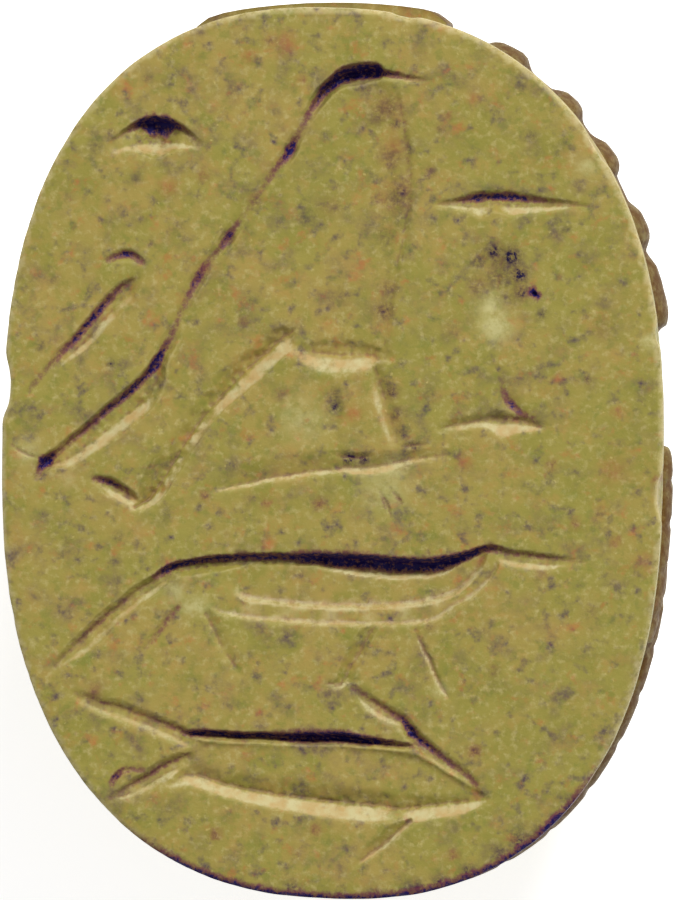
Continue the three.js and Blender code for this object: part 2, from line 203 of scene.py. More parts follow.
def leg_ridge(side, start, end, level, height, reach, end_level=None, slant=0.0):
    """A rounded ridge round the oval between two angles, at shares of the leg zone from the back."""
    steps = max(4, round(abs(end - start) / 2))
    rod = turned("leg", [(1, i / steps) for i in range(steps + 1)], sides=LEG_SIDES)
    x, y, t = corners(rod).T
    thickness = height * LEG_ZONE
    fade = np.sqrt(np.clip(1 - np.abs(2 * t - 1) ** 8, 0.45, 1))
    middle = BACK_RISE + (level + ((end_level or level) - level) * t) * LEG_ZONE
    rounding = 0.38 * thickness
    root = UNDERCUT + 2 * OVERLAP
    bulge = rounding * (1 - np.clip(x, 0, 1) ** 0.8) + 0.4 * rounding * (1 - fade)
    out = np.where(x > 0, reach - bulge - slant * t, -root)
    degrees = start + (end - start) * t
    degrees = degrees if side > 0 else 180 - degrees
    places = beside_edge(degrees, out, middle + y * thickness / 2 * fade)
    move_corners(rod, places)
    return rod


legs = []
for side, reach in ((-1, WORN_REACH), (1, LEG_REACH)):
    for start, end in TEETH:
        legs.append(leg_ridge(side, start, end, 0.62, 0.66, reach, slant=TOOTH_SLANT))
    legs.append(leg_ridge(side, 19, 72.5, level=0.5, height=0.84, reach=reach - TOOTH_DEPTH))
    legs.append(leg_ridge(side, -32, 1, level=0.66, height=0.5, reach=THIGH_REACH, end_level=0.42))
    legs.append(leg_ridge(side, -84, -16, level=0.7, height=0.46, reach=THIGH_REACH, end_level=0.22))


# The head: a shield that slopes down from the neck to the plate's end, with an eye at each side.
HEAD_WIDTH = 5.2
HEAD_REACH = 0.1
HEAD_ASIDE = -0.34
HEAD_SLANT = 0.12
HEAD_ROUNDING = 0.26
HEAD_CORNER = 0.22
EYE = 1.3

half_head = HEAD_WIDTH / 2
head_tip = oval_radius(np.pi / 2) + HEAD_REACH
neck = LENGTH / 2 - NECK_INSET - 4 * OVERLAP
select_only()
bpy.ops.mesh.primitive_cube_add(size=1, location=(0, 0, 0.5))
head = bpy.context.object
head.name = "head"
bpy.ops.object.transform_apply()
bpy.ops.object.mode_set(mode="EDIT")
bpy.ops.mesh.select_all(action="SELECT")
bpy.ops.mesh.subdivide(number_cuts=15)
bpy.ops.object.mode_set(mode="OBJECT")
x, y, z = corners(head).T
along = y + 0.5
half_width = half_head * np.interp(along, [0, 0.35, 0.8, 1], [0.85, 1.05, 1, 0.99])
across = 2 * x * half_width + HEAD_ASIDE
aside = np.abs(2 * x)
tip_here = head_tip + HEAD_SLANT * x - HEAD_ROUNDING * aside**2 - HEAD_CORNER * aside**12
brow = BACK_RISE * (0.42 + 0.53 * along + 0.16 * aside**4)
level = brow + (PLATE_UNDER + OVERLAP - brow) * z
move_corners(head, np.stack([across, neck + along * (tip_here - neck), level], axis=1))
eyes = []
for side in (-1, 1):
    bpy.ops.mesh.primitive_uv_sphere_add(segments=24, ring_count=16, radius=EYE / 2)
    eye = bpy.context.object
    place = (side * 0.98 * half_head, neck + 0.4 * (head_tip - neck), 0.8 * BACK_RISE)
    move_corners(eye, corners(eye) + place)
    eyes.append(eye)


# The stone made whole: the forms are joined into one skin, the threading hole is drilled through it
# from end to end, and the skin is made even again.
BORE = 1.7
BORE_LEVEL = BACK_RISE + 0.4 * LEG_ZONE
SKIN = 0.1  # the size of its squares


def apply_modifier(piece, kind, **settings):
    modifier = piece.modifiers.new(kind.lower(), kind)
    for name, value in settings.items():
        setattr(modifier, name, value)
    bpy.context.view_layer.objects.active = piece
    bpy.ops.object.modifier_apply(modifier=modifier.name)


select_only(plate, back, wall, head, *eyes, *legs)
bpy.ops.object.join()
stone = plate
stone.name = "scarab_stone"
move_corners(stone, corners(stone) + (0, FACE_Y, 0))
apply_modifier(stone, "REMESH", mode="VOXEL", voxel_size=SKIN)
select_only()
lying = (np.pi / 2, 0, 0)
bpy.ops.mesh.primitive_cylinder_add(vertices=48, radius=BORE / 2, depth=1.5 * LENGTH, rotation=lying)
drill = bpy.context.object
bpy.ops.object.transform_apply()
move_corners(drill, corners(drill) + (0, 0, BORE_LEVEL))
apply_modifier(stone, "BOOLEAN", operation="DIFFERENCE", object=drill, solver="EXACT")
bpy.data.objects.remove(drill)
apply_modifier(stone, "REMESH", mode="VOXEL", voxel_size=SKIN)
apply_modifier(stone, "SMOOTH", factor=0.5, iterations=1)


# The cut lines on the back: the border of the neck shield, the double seam of the wing cases with a
# notch at each shoulder, and fine hairs on the legs. They are pressed into the skin along its normal.
BACK_LINE = 0.28
BACK_LINE_DEPTH = 0.14
SEAM = 0.25
LINE_STEP = 0.05
HAIRS = 52  # all round the oval
HAIR_LEAN = 300  # degrees of one hair's wave, from the back up to the plate
HAIR_DEPTH = 0.07
HAIRY_FROM, HAIRY_TO = -80, 12  # degrees round the oval


def between(points, step):
    """A smooth line through the points, with everything that they carry, in even steps."""
    points = np.array(points)
    padded = np.vstack([2 * points[0] - points[1], points, 2 * points[-1] - points[-2]])
    made = []
    for a, b, c, d in zip(padded, padded[1:], padded[2:], padded[3:]):
        count = max(2, int(np.hypot(*(c - b)[:2]) / step))
        t = (np.arange(count) / count)[:, None]
        bend = (c - a) * t + (2 * a - 5 * b + 4 * c - d) * t**2 + (3 * b - a - 3 * c + d) * t**3
        made.append(b + bend / 2)
    return np.vstack(made + [points[-1:]])


def nearest(places, line):
    """For each place the nearest step of the line, its distance and its distance to the left."""
    found = np.empty(len(places), dtype=int)
    for start in range(0, len(places), 4000):
        part = places[start:start + 4000]
        gap = part[:, None, :] - line[None, :, :2]
        found[start:start + 4000] = np.argmin(np.einsum("ijk,ijk->ij", gap, gap), axis=1)
    ahead = np.gradient(line[:, :2], axis=0)
    ahead = ahead / np.hypot(*ahead.T)[:, None]
    away = places - line[found, :2]
    left = ahead[found, 0] * away[:, 1] - ahead[found, 1] * away[:, 0]
    return found, np.hypot(*away.T), left


def normals_of(piece):
    return read(piece.data.vertices, "normal")


seams = [[(side * SEAM, 0.9, 1), (side * SEAM, -4, 1), (side * SEAM, -8, 1)] for side in (-1, 1)]
border = [[(-5.8, 0.63, 1), (-3, 0.95, 1), (0, 1.17, 1), (3, 0.95, 1), (5.8, 0.63, 1)]]
notches = [[(side * 5.4, 0.72, 1), (side * 5.05, 0.3, 1), (side * 4.7, -0.18, 1)] for side in (-1, 1)]
at = corners(stone)
normals = normals_of(stone)
domed = np.flatnonzero((normals[:, 2] < -0.15) & (at[:, 2] < BACK_RISE + 0.1))
pressed = np.zeros(len(domed))
for points in seams + border + notches:
    distance = nearest(at[domed, :2] - (0, FACE_Y), between(points, LINE_STEP))[1]
    pressed = np.maximum(pressed, BACK_LINE_DEPTH * np.clip(1.15 - distance / (BACK_LINE / 2), 0, 1) ** 0.8)
at[domed] -= pressed[:, None] * normals[domed]
angle = np.degrees(np.arctan2(at[:, 1] - FACE_Y, at[:, 0]))
on_legs = (at[:, 2] > BACK_RISE) & (at[:, 2] < PLATE_UNDER) & (np.abs(normals[:, 2]) < 0.8)
on_right = (angle > HAIRY_FROM) & (angle < HAIRY_TO)
on_legs &= on_right | (angle > 180 - HAIRY_TO) | (angle < -180 - HAIRY_FROM)
hair = np.cos(np.radians(HAIRS * angle + HAIR_LEAN * at[:, 2] / LEG_ZONE))
hair = np.clip(hair - 0.55, 0, 1)
at -= (HAIR_DEPTH * hair * on_legs)[:, None] * normals
move_corners(stone, at)


# The plate's wall and edge, trued up as on a grinding stone: the forms were softened there when they
# were joined, so the skin is put back on the oval, with its small bevel.
at = corners(stone)
normals = normals_of(stone)
angle = np.arctan2(at[:, 1] - FACE_Y, at[:, 0])
radius = np.hypot(at[:, 0], at[:, 1] - FACE_Y)
from_edge = oval_radius(angle) - radius
levels = [PLATE_UNDER - OVERLAP, PLATE_UNDER, PLATE_UNDER + EDGE_BEVEL, HEIGHT - 2 * EDGE_BEVEL, HEIGHT]
wall_at = np.interp(at[:, 2], levels, [UNDERCUT, EDGE_BEVEL, EDGE_BEVEL / 3, 0, 0.02])
on_wall = (at[:, 2] > PLATE_UNDER) & (np.abs(normals[:, 2]) < 0.75) & (from_edge < 0.3)
true_radius = np.where(on_wall, oval_radius(angle) - wall_at, radius)
at[:, 0] = true_radius * np.cos(angle)
at[:, 1] = true_radius * np.sin(angle) + FACE_Y
on_top = (at[:, 2] > HEIGHT - 0.4) & (normals[:, 2] > 0.4)
drop = 2 * EDGE_BEVEL * np.clip(1 - np.clip(from_edge, 0, 1) / EDGE_BEVEL, 0, 1) ** 3.5
at[:, 2] = np.where(on_top, HEIGHT - drop, at[:, 2])
move_corners(stone, at)


# The skin thinned out below the plate, where the forms are soft, so that its fineness can go into the
# carving of the face.
THINNING = 0.24


def choose(piece, chosen):
    """Selects the given polygons, and nothing else, in edit mode."""
    select_only(piece)
    bpy.ops.object.mode_set(mode="EDIT")
    bpy.context.tool_settings.mesh_select_mode = (False, False, True)
    bpy.ops.mesh.select_all(action="DESELECT")
    bpy.ops.object.mode_set(mode="OBJECT")
    piece.data.polygons.foreach_set("select", chosen)
    bpy.ops.object.mode_set(mode="EDIT")


choose(stone, read(stone.data.polygons, "center")[:, 2] < PLATE_UNDER + 0.05)
bpy.ops.mesh.decimate(ratio=THINNING)
bpy.ops.object.mode_set(mode="OBJECT")


# The carving on the seal face: a falcon, a crocodile and a fish, with small strokes and pits beside them.
# Each cut is a groove with a steep wall, a rough floor and an open wall on the other side, as a graver held
# aslant leaves it; inside the animals the ground is sunk a little. The stains are listed with them, and
# spots of painted shade and painted highlight with the stains.
CUT_STEP = 0.04
POOLED_AND_SHADED_FROM = 0.86  # from this share on, dirt and painted shade lie over the whole floor
SUNK_RISE = 0.6
WAVER, TREMBLE = 0.026, 0.012  # how far the graver strays, in long and in short waves
FINENESS = (0.002, 0.006)  # how far the skin may miss the carving before it is made finer


def rough(places, scale, seed):
    """Smooth noise from -1 to 1, with lumps of about the given size."""
    return np.array([noise.noise((x / scale, y / scale, seed)) for x, y in places])


def groove(places, floor_share, points):
    """Depth of one groove at the places, and its share of bare stone, a painted highlight where it faces
    the key light, and of dirt with painted shade there.
    """
    line = between(points, CUT_STEP)
    line[:, 2:5] = np.maximum(line[:, 2:5], 0.01)
    found, distance, left = nearest(places, line)
    depth, left_wall, right_wall, bare_and_lit, dirt_and_shade = line[found, 2:].T
    turn = (left / distance.clip(1e-6) + 1) / 2
    turn = 3 * turn**2 - 2 * turn**3
    wall = right_wall + (left_wall - right_wall) * turn
    open_side = np.where(left_wall > right_wall, turn, 1 - turn)
    floor = floor_share * open_side
    out = np.minimum(distance / wall, 1)
    fall = np.minimum((1 - out) / (1 - floor), 1)
    fall = fall * (1 - 0.12 * np.minimum(out / (floor + 0.01), 1) * (floor > 0))
    # dirt and painted shade: a thin line in the deepest part, and the whole floor and more of the steep
    # wall where it has pooled
    pooled_and_shaded = np.clip((dirt_and_shade - POOLED_AND_SHADED_FROM) / (1 - POOLED_AND_SHADED_FROM), 0, 1)
    reach = 0.09 + 0.62 * pooled_and_shaded * wall * np.where(open_side > 0.5, floor, 1)
    soiled_and_shaded = dirt_and_shade * np.clip(1.7 - 1.4 * distance / reach, 0, 1)
    # bare stone, which becomes a painted highlight where the wall faces the key light: on the open wall,
    # between the floor and the rim of the cut
    outer = np.clip((out - 0.8 * floor - 0.08) / 0.2, 0, 1) * np.clip((1.04 - out) / 0.3, 0, 1)
    return depth * fall, bare_and_lit * (out < 1) * outer, soiled_and_shaded


def sunk(places, depth, edge, bare_and_lit, points):
    """Depth of a sunk ground, which rises to nothing towards its left end, and the share of its edge that
    is bare stone, a painted highlight where it faces the key light.
    """
    points = np.array(points)
    line = between(np.vstack([points, points[:1]]), LINE_STEP)
    distance = nearest(places, line)[1]
    inside = np.zeros(len(places), dtype=bool)
    x, y = places.T
    for (ax, ay), (bx, by) in zip(line[:, :2], np.roll(line[:, :2], -1, axis=0)):
        crosses = (ay > y) != (by > y)
        inside ^= crosses & (x < ax + (bx - ax) * (y - ay) / (by - ay + 1e-12))
    t = np.clip(np.where(inside, distance, 0) / edge, 0, 1)
    rise = np.clip((x - points[:, 0].min()) / SUNK_RISE, 0, 1)
    return depth * t * (2 - t) * rise, bare_and_lit * ((t > 0) & (t < 1)) * rise


CUTS = {  # floor share, then: x, y, depth, width to the left, width to the right, bare stone with painted highlight, dirt with painted shade
    "falcon_back": (0.52, [
        (-5.96, -0.49, 0.04, 0.08, 0.1, 0.5, 0.2), (-5.78, -0.18, 0.22, 0.14, 0.22, 0.5, 1),
        (-5.47, 0.08, 0.16, 0.11, 0.44, 0.9, 0.45), (-5.01, 0.45, 0.2, 0.11, 0.54, 1, 0.55),
        (-4.5, 0.89, 0.23, 0.12, 0.58, 1, 0.7), (-4.05, 1.26, 0.25, 0.12, 0.58, 1, 0.8),
        (-3.73, 1.58, 0.22, 0.12, 0.46, 0.8, 0.84), (-3.49, 1.91, 0.18, 0.12, 0.22, 0.1, 0.9),
        (-3.24, 2.35, 0.1, 0.15, 0.24, 0, 0.5), (-3.04, 2.82, 0.07, 0.16, 0.24, 0, 0.4),
        (-2.82, 3.28, 0.09, 0.16, 0.22, 0, 0.6), (-2.7, 3.51, 0.12, 0.16, 0.22, 0, 0.8),
        (-2.47, 3.85, 0.07, 0.16, 0.22, 0, 0.5), (-2.23, 4.14, 0.1, 0.16, 0.22, 0.1, 0.55),
        (-2.09, 4.34, 0.16, 0.16, 0.22, 0.2, 0.85), (-1.86, 4.66, 0.06, 0.16, 0.22, 0, 0.35),
        (-1.54, 5.09, 0.05, 0.16, 0.22, 0, 0.25), (-1.26, 5.53, 0.07, 0.16, 0.22, 0, 0.45),
        (-0.97, 5.88, 0.11, 0.15, 0.22, 0, 0.66), (-0.83, 6.12, 0.18, 0.15, 0.2, 0, 0.9),
        (-0.65, 6.45, 0.07, 0.15, 0.2, 0, 0.4), (-0.45, 6.81, 0.1, 0.15, 0.2, 0, 0.5),
        (-0.22, 7.2, 0.3, 0.15, 0.2, 0.1, 0.86), (0, 7.42, 0.4, 0.14, 0.22, 0.2, 0.95),
        (0.28, 7.58, 0.48, 0.2, 0.26, 0.3, 1), (0.65, 7.66, 0.5, 0.2, 0.26, 0.2, 1),
        (0.93, 7.66, 0.4, 0.19, 0.2, 0.2, 1), (1.09, 7.64, 0.2, 0.09, 0.12, 0.2, 0.8),
        (1.3, 7.6, 0.12, 0.08, 0.12, 0.7, 0.6), (1.62, 7.54, 0.08, 0.06, 0.1, 0.8, 0.4),
        (1.91, 7.5, 0.02, 0.05, 0.06, 0.6, 0.1),
    ]),
    "falcon_breast": (0, [
        (1.05, 2.07, 0.05, 0.3, 0.1, 0.1, 0), (1.14, 2.72, 0.06, 0.4, 0.1, 0.1, 0),
        (1.32, 3.77, 0.06, 0.5, 0.1, 0.2, 0.1), (1.52, 4.84, 0.07, 0.5, 0.1, 0.3, 0.2),
        (1.54, 5.86, 0.07, 0.5, 0.1, 0.3, 0.3), (1.42, 6.77, 0.05, 0.45, 0.1, 0.2, 0.3),
        (1.22, 7.38, 0.03, 0.3, 0.06, 0.1, 0.1),
    ]),
    "falcon_tail": (0.2, [
        (-3.93, -1.09, 0.12, 0.2, 0.11, 0.6, 0.1), (-3.69, -0.93, 0.25, 0.3, 0.19, 0.9, 0.1),
        (-3.43, -0.57, 0.25, 0.4, 0.22, 0.9, 0.05), (-3.08, -0.02, 0.23, 0.45, 0.22, 0.9, 0),
        (-2.68, 0.59, 0.23, 0.5, 0.23, 0.85, 0), (-2.17, 1.2, 0.25, 0.5, 0.27, 0.9, 0),
        (-1.66, 1.7, 0.27, 0.5, 0.34, 0.95, 0), (-1.22, 2.11, 0.27, 0.45, 0.32, 1, 0),
        (-0.93, 2.35, 0.27, 0.35, 0.32, 1, 0), (-0.73, 2.51, 0.12, 0.2, 0.2, 0.8, 0),
    ]),
    "falcon_tail_tip": (0.4, [
        (-4.78, -0.51, 0.06, 0.08, 0.1, 0.3, 0.5), (-4.5, -0.57, 0.19, 0.12, 0.26, 0.6, 0.72),
        (-4.26, -0.69, 0.19, 0.12, 0.28, 0.9, 0.65), (-3.99, -0.87, 0.13, 0.1, 0.24, 0.95, 0.22),
        (-3.77, -1.07, 0.05, 0.06, 0.12, 0.7, 0),
    ]),
    "falcon_belly": (0.4, [
        (-0.73, 2.11, 0.08, 0.3, 0.2, 0.51, 0), (-0.28, 2.01, 0.18, 0.45, 0.4, 0.68, 0),
        (0.26, 1.97, 0.2, 0.5, 0.42, 0.72, 0), (0.73, 1.97, 0.18, 0.4, 0.36, 0.77, 0),
        (1.09, 1.89, 0.06, 0.2, 0.15, 0.51, 0),
    ]),
    "falcon_left_leg": (0, [
        (0.1, 0.12, 0.02, 0.3, 0.1, 0.3, 0.06), (0.08, 0.59, 0.05, 0.6, 0.14, 0.5, 0.08),
        (0.08, 0.99, 0.06, 0.7, 0.16, 0.5, 0.11), (-0.02, 1.34, 0.03, 0.5, 0.12, 0.4, 0.04),
    ]),
    "falcon_right_leg": (0.3, [
        (1.38, 0.04, 0.03, 0.17, 0.12, 0.6, 0.09), (1.26, 0.45, 0.07, 0.24, 0.18, 0.9, 0.19),
        (1.14, 0.85, 0.08, 0.24, 0.2, 0.9, 0.14), (1.03, 1.26, 0.1, 0.26, 0.2, 0.9, 0.2),
        (0.91, 1.68, 0.07, 0.17, 0.16, 0.8, 0.14),
    ]),
    "falcon_foot": (0.3, [
        (0.02, -0.04, 0.05, 0.12, 0.1, 0.3, 0.1), (0.26, -0.1, 0.09, 0.14, 0.1, 0.3, 0.2),
        (0.61, -0.1, 0.1, 0.14, 0.1, 0.3, 0.2), (0.93, -0.06, 0.04, 0.1, 0.08, 0.3, 0.07),
    ]),
    "falcon_claw": (0, [
        (1.46, 0.16, 0.04, 0.07, 0.07, 0.3, 0.18), (1.66, 0.16, 0.06, 0.08, 0.08, 0.3, 0.21),
        (1.99, 0.2, 0.02, 0.06, 0.06, 0.3, 0.12),
    ]),
    "ground": (0, [
        (-2.57, -0.81, 0.02, 0.2, 0.06, 0.5, 0), (-2.03, -0.67, 0.07, 0.35, 0.1, 0.8, 0.1),
        (-1.42, -0.53, 0.1, 0.4, 0.1, 0.9, 0.1), (-0.65, -0.39, 0.11, 0.4, 0.11, 0.9, 0.1),
        (0.16, -0.3, 0.12, 0.35, 0.13, 0.9, 0.3), (0.93, -0.24, 0.14, 0.3, 0.18, 1, 0.2),
        (1.48, -0.12, 0.12, 0.25, 0.14, 0.8, 0.1), (2.03, -0.06, 0.06, 0.2, 0.1, 0.6, 0.1),
        (2.39, -0.02, 0.02, 0.1, 0.08, 0.4, 0),
    ]),
    "right_bar": (0.45, [
        (2.07, 5.05, 0.02, 0.05, 0.1, 0.6, 0.2), (2.43, 5.07, 0.08, 0.07, 0.18, 0.7, 0.3),
        (2.8, 5.13, 0.16, 0.13, 0.34, 0.9, 0.8), (3, 5.15, 0.19, 0.14, 0.42, 0.9, 0.9),
        (3.3, 5.15, 0.18, 0.14, 0.3, 0.1, 0.8), (3.61, 5.15, 0.19, 0.14, 0.4, 0.9, 0.9),
        (3.97, 5.11, 0.14, 0.12, 0.32, 0.9, 0.7), (4.38, 5.07, 0.11, 0.09, 0.24, 0.8, 0.4),
        (4.78, 5.03, 0.06, 0.07, 0.14, 0.6, 0.3), (5.23, 4.97, 0.02, 0.05, 0.06, 0.3, 0.1),
    ]),
    "right_hollow": (0.4, [
        (3.39, 4.22, 0.02, 0.2, 0.3, 0, 0), (3.41, 3.89, 0.1, 0.4, 0.5, 0, 0),
        (3.37, 3.49, 0.12, 0.44, 0.5, 0, 0), (3.32, 3.12, 0.1, 0.44, 0.5, 0.2, 0),
        (3.28, 2.72, 0.06, 0.4, 0.44, 0.4, 0), (3.24, 2.27, 0.02, 0.2, 0.2, 0.3, 0),
    ]),
    "right_stem": (0, [
        (3.34, 1.66, 0.02, 0.2, 0.2, 0, 0), (3.45, 1.26, 0.05, 0.2, 0.2, 0, 0.5),
        (3.59, 1.03, 0.09, 0.22, 0.2, 0, 0.8), (3.77, 0.87, 0.08, 0.15, 0.15, 0, 0.6),
        (4.09, 0.67, 0.03, 0.08, 0.08, 0, 0.4),
    ]),
    "right_foot": (0.2, [
        (2.11, 0.49, 0.01, 0.07, 0.06, 0.4, 0.05), (2.43, 0.59, 0.07, 0.11, 0.16, 0.8, 0.2),
        (2.8, 0.67, 0.09, 0.12, 0.18, 0.9, 0.2), (3.08, 0.69, 0.09, 0.12, 0.2, 0.8, 0.2),
        (3.37, 0.71, 0.15, 0.17, 0.42, 1, 0.3), (3.71, 0.71, 0.15, 0.17, 0.36, 1, 0.4),
        (4.05, 0.61, 0.09, 0.12, 0.2, 1, 0.3), (4.38, 0.51, 0.01, 0.06, 0.06, 0.4, 0.1),
    ]),
    "left_pit": (0.55, [
        (-4.34, 6.35, 0.06, 0.06, 0.4, 0.9, 0), (-4.05, 6.53, 0.22, 0.08, 0.62, 1, 0.55),
        (-3.79, 6.63, 0.38, 0.1, 0.74, 1, 0.98), (-3.53, 6.67, 0.42, 0.11, 0.78, 1, 1),
        (-3.24, 6.61, 0.36, 0.1, 0.7, 1, 0.98), (-2.96, 6.49, 0.2, 0.08, 0.5, 1, 0.5),
        (-2.68, 6.3, 0.04, 0.05, 0.26, 0.9, 0),
    ]),
    "left_peck": (0.2, [
        (-4.5, 3.89, 0.04, 0.08, 0.1, 0, 0.45), (-4.28, 3.99, 0.12, 0.12, 0.14, 0, 0.75),
        (-4.05, 3.99, 0.13, 0.12, 0.14, 0, 0.75), (-3.79, 3.85, 0.04, 0.07, 0.08, 0, 0.45),
    ]),
    "left_feather": (0.48, [
        (-6.12, 1.26, 0.03, 0.1, 0.1, 0.11, 0.3), (-5.59, 1.86, 0.07, 0.12, 0.23, 0.55, 0.45),
        (-5.11, 2.37, 0.14, 0.12, 0.36, 0.99, 0.8), (-4.76, 2.78, 0.15, 0.12, 0.38, 0.99, 0.8),
        (-4.46, 3.12, 0.15, 0.12, 0.38, 0.88, 0.65), (-4.18, 3.37, 0.12, 0.1, 0.36, 0.77, 0.5),
        (-3.89, 3.55, 0.03, 0.06, 0.15, 0.44, 0.2),
    ]),
    "crocodile_tail": (0.45, [
        (-5.59, -4.26, 0.04, 0.08, 0.14, 0.34, 0.24), (-5.11, -3.81, 0.12, 0.13, 0.3, 0.72, 0.36),
        (-4.6, -3.32, 0.14, 0.13, 0.3, 0.72, 0.4), (-4.09, -2.9, 0.14, 0.13, 0.28, 0.72, 0.32),
        (-3.69, -2.62, 0.14, 0.12, 0.28, 0.68, 0.28), (-3.28, -2.39, 0.13, 0.1, 0.2, 0.26, 0.56),
    ]),
    "crocodile_back": (0.5, [
        (-3.57, -2.49, 0.12, 0.06, 0.12, 0, 0.5), (-3.28, -2.31, 0.24, 0.06, 0.14, 0, 0.84),
        (-2.96, -2.21, 0.28, 0.07, 0.28, 0, 0.84), (-2.27, -2.11, 0.28, 0.07, 0.28, 0, 0.84),
        (-1.3, -2.07, 0.32, 0.08, 0.28, 0, 0.84), (-0.47, -2.09, 0.38, 0.09, 0.28, 0, 0.97),
        (0.1, -2.11, 0.46, 0.11, 0.36, 0.95, 1), (0.67, -2.15, 0.5, 0.12, 0.43, 0.95, 1),
        (1.14, -2.19, 0.52, 0.12, 0.43, 0.95, 1), (1.84, -2.21, 0.5, 0.11, 0.41, 0.95, 1),
        (2.33, -2.17, 0.4, 0.1, 0.3, 0.95, 1), (2.76, -2.01, 0.3, 0.07, 0.19, 0, 0.92),
        (3.2, -1.89, 0.18, 0.07, 0.15, 0.1, 0.7), (3.51, -1.93, 0.1, 0.05, 0.1, 0.3, 0.4),
    ]),
    "crocodile_snout": (0.5, [
        (3.12, -1.95, 0.1, 0.07, 0.2, 0.4, 0.4), (3.71, -1.99, 0.12, 0.1, 0.32, 0.8, 0.5),
        (4.28, -2.07, 0.11, 0.1, 0.32, 0.85, 0.45), (4.66, -2.11, 0.06, 0.08, 0.2, 0.7, 0.3),
        (5.07, -2.17, 0.02, 0.05, 0.06, 0.3, 0.1),
    ]),
    "crocodile_foreleg": (0, [
        (-1.8, -4.46, 0.02, 0.08, 0.06, 0.3, 0.06), (-2.05, -4.14, 0.05, 0.1, 0.14, 0.4, 0.12),
        (-2.29, -3.69, 0.06, 0.1, 0.18, 0.4, 0.12), (-2.53, -3.24, 0.05, 0.08, 0.12, 0.4, 0.09),
    ]),
    "crocodile_rear_leg": (0.3, [
        (0.08, -4.66, 0.06, 0.1, 0.14, 0.7, 0.1), (0.28, -4.5, 0.12, 0.2, 0.16, 0.8, 0.1),
        (0.53, -4.09, 0.12, 0.26, 0.14, 0.7, 0.1), (0.77, -3.65, 0.1, 0.22, 0.1, 0.6, 0.1),
        (0.97, -3.32, 0.06, 0.1, 0.08, 0.6, 0),
    ]),
    "crocodile_rear_toe": (0, [
        (-0.12, -4.64, 0.02, 0.06, 0.06, 0.4, 0), (0.16, -4.6, 0.08, 0.08, 0.1, 0.9, 0.1),
        (0.51, -4.54, 0.02, 0.06, 0.06, 0.5, 0),
    ]),
    "crocodile_last_leg": (0, [
        (2.39, -4.91, 0.02, 0.07, 0.06, 1, 0), (2.19, -4.62, 0.06, 0.1, 0.07, 1, 0),
        (1.95, -4.09, 0.06, 0.1, 0.07, 1, 0), (1.68, -3.53, 0.04, 0.08, 0.06, 1, 0),
    ]),
    "crocodile_near_leg": (0, [
        (-3.85, -4.01, 0.02, 0.08, 0.08, 0, 0.2), (-3.49, -3.61, 0.06, 0.12, 0.12, 0, 0.4),
        (-3.08, -3.12, 0.05, 0.1, 0.1, 0, 0.4),
    ]),
    "fish_back": (0.3, [
        (-3, -5.62, 0.14, 0.06, 0.1, 0, 0.6), (-2.68, -5.62, 0.26, 0.07, 0.14, 0, 0.86),
        (-1.97, -5.66, 0.32, 0.08, 0.17, 0.2, 0.86), (-1.26, -5.68, 0.34, 0.08, 0.17, 0.3, 0.86),
        (-0.65, -5.7, 0.4, 0.1, 0.19, 0.2, 1), (-0.14, -5.7, 0.4, 0.1, 0.19, 0.2, 1),
        (0.36, -5.72, 0.38, 0.09, 0.17, 0.1, 1), (0.87, -5.78, 0.3, 0.07, 0.14, 0.1, 0.9),
        (1.38, -5.84, 0.16, 0.06, 0.12, 0.1, 0.5), (1.78, -5.86, 0.08, 0.04, 0.09, 0, 0.3),
    ]),
    "fish_tail_top": (0.5, [
        (-5.15, -4.82, 0.03, 0.08, 0.14, 0.31, 0.24), (-4.7, -4.99, 0.1, 0.13, 0.26, 0.61, 0.4),
        (-4.14, -5.15, 0.11, 0.14, 0.28, 0.65, 0.32), (-3.59, -5.35, 0.12, 0.14, 0.3, 0.69, 0.36),
        (-3.08, -5.55, 0.13, 0.12, 0.32, 0.69, 0.48), (-2.68, -5.78, 0.07, 0.08, 0.26, 0.61, 0.24),
    ]),
    "fish_tail_low": (0.5, [
        (-4.46, -6.93, 0.03, 0.07, 0.12, 0.42, 0.21), (-4.18, -6.77, 0.1, 0.1, 0.24, 0.77, 0.28),
        (-3.79, -6.53, 0.14, 0.13, 0.3, 0.77, 0.49), (-3.39, -6.28, 0.15, 0.14, 0.34, 0.81, 0.49),
        (-2.98, -6.1, 0.13, 0.12, 0.34, 0.81, 0.42), (-2.72, -6, 0.04, 0.06, 0.2, 0.42, 0.14),
    ]),
    "fish_tail_nick": (0, [
        (-4.44, -6.67, 0.03, 0.07, 0.07, 0, 0.5), (-4.36, -6.51, 0.08, 0.08, 0.08, 0, 0.7),
        (-4.18, -6.37, 0.04, 0.06, 0.06, 0, 0.5), (-3.81, -6.35, 0.03, 0.05, 0.05, 0, 0.4),
    ]),
    "fish_belly": (0.08, [
        (-3.24, -6.65, 0.05, 0.2, 0.14, 0.7, 0), (-2.82, -6.47, 0.18, 0.4, 0.24, 0.95, 0),
        (-1.84, -6.73, 0.24, 0.5, 0.27, 1, 0), (-0.81, -6.91, 0.28, 0.5, 0.31, 1, 0),
        (0.1, -7.01, 0.3, 0.5, 0.36, 1, 0), (0.87, -7.07, 0.3, 0.5, 0.36, 1, 0),
        (1.34, -7.14, 0.24, 0.45, 0.28, 0.2, 0.1), (1.64, -7.1, 0.26, 0.4, 0.32, 1, 0),
        (2.19, -7.05, 0.22, 0.35, 0.3, 1, 0), (2.76, -6.97, 0.14, 0.25, 0.24, 0.95, 0),
        (3.2, -6.91, 0.02, 0.1, 0.1, 0.5, 0),
    ]),
    "fish_fin": (0.45, [
        (0.45, -4.7, 0.03, 0.08, 0.08, 0.1, 0.36), (0.81, -4.95, 0.09, 0.12, 0.26, 0.8, 0.45),
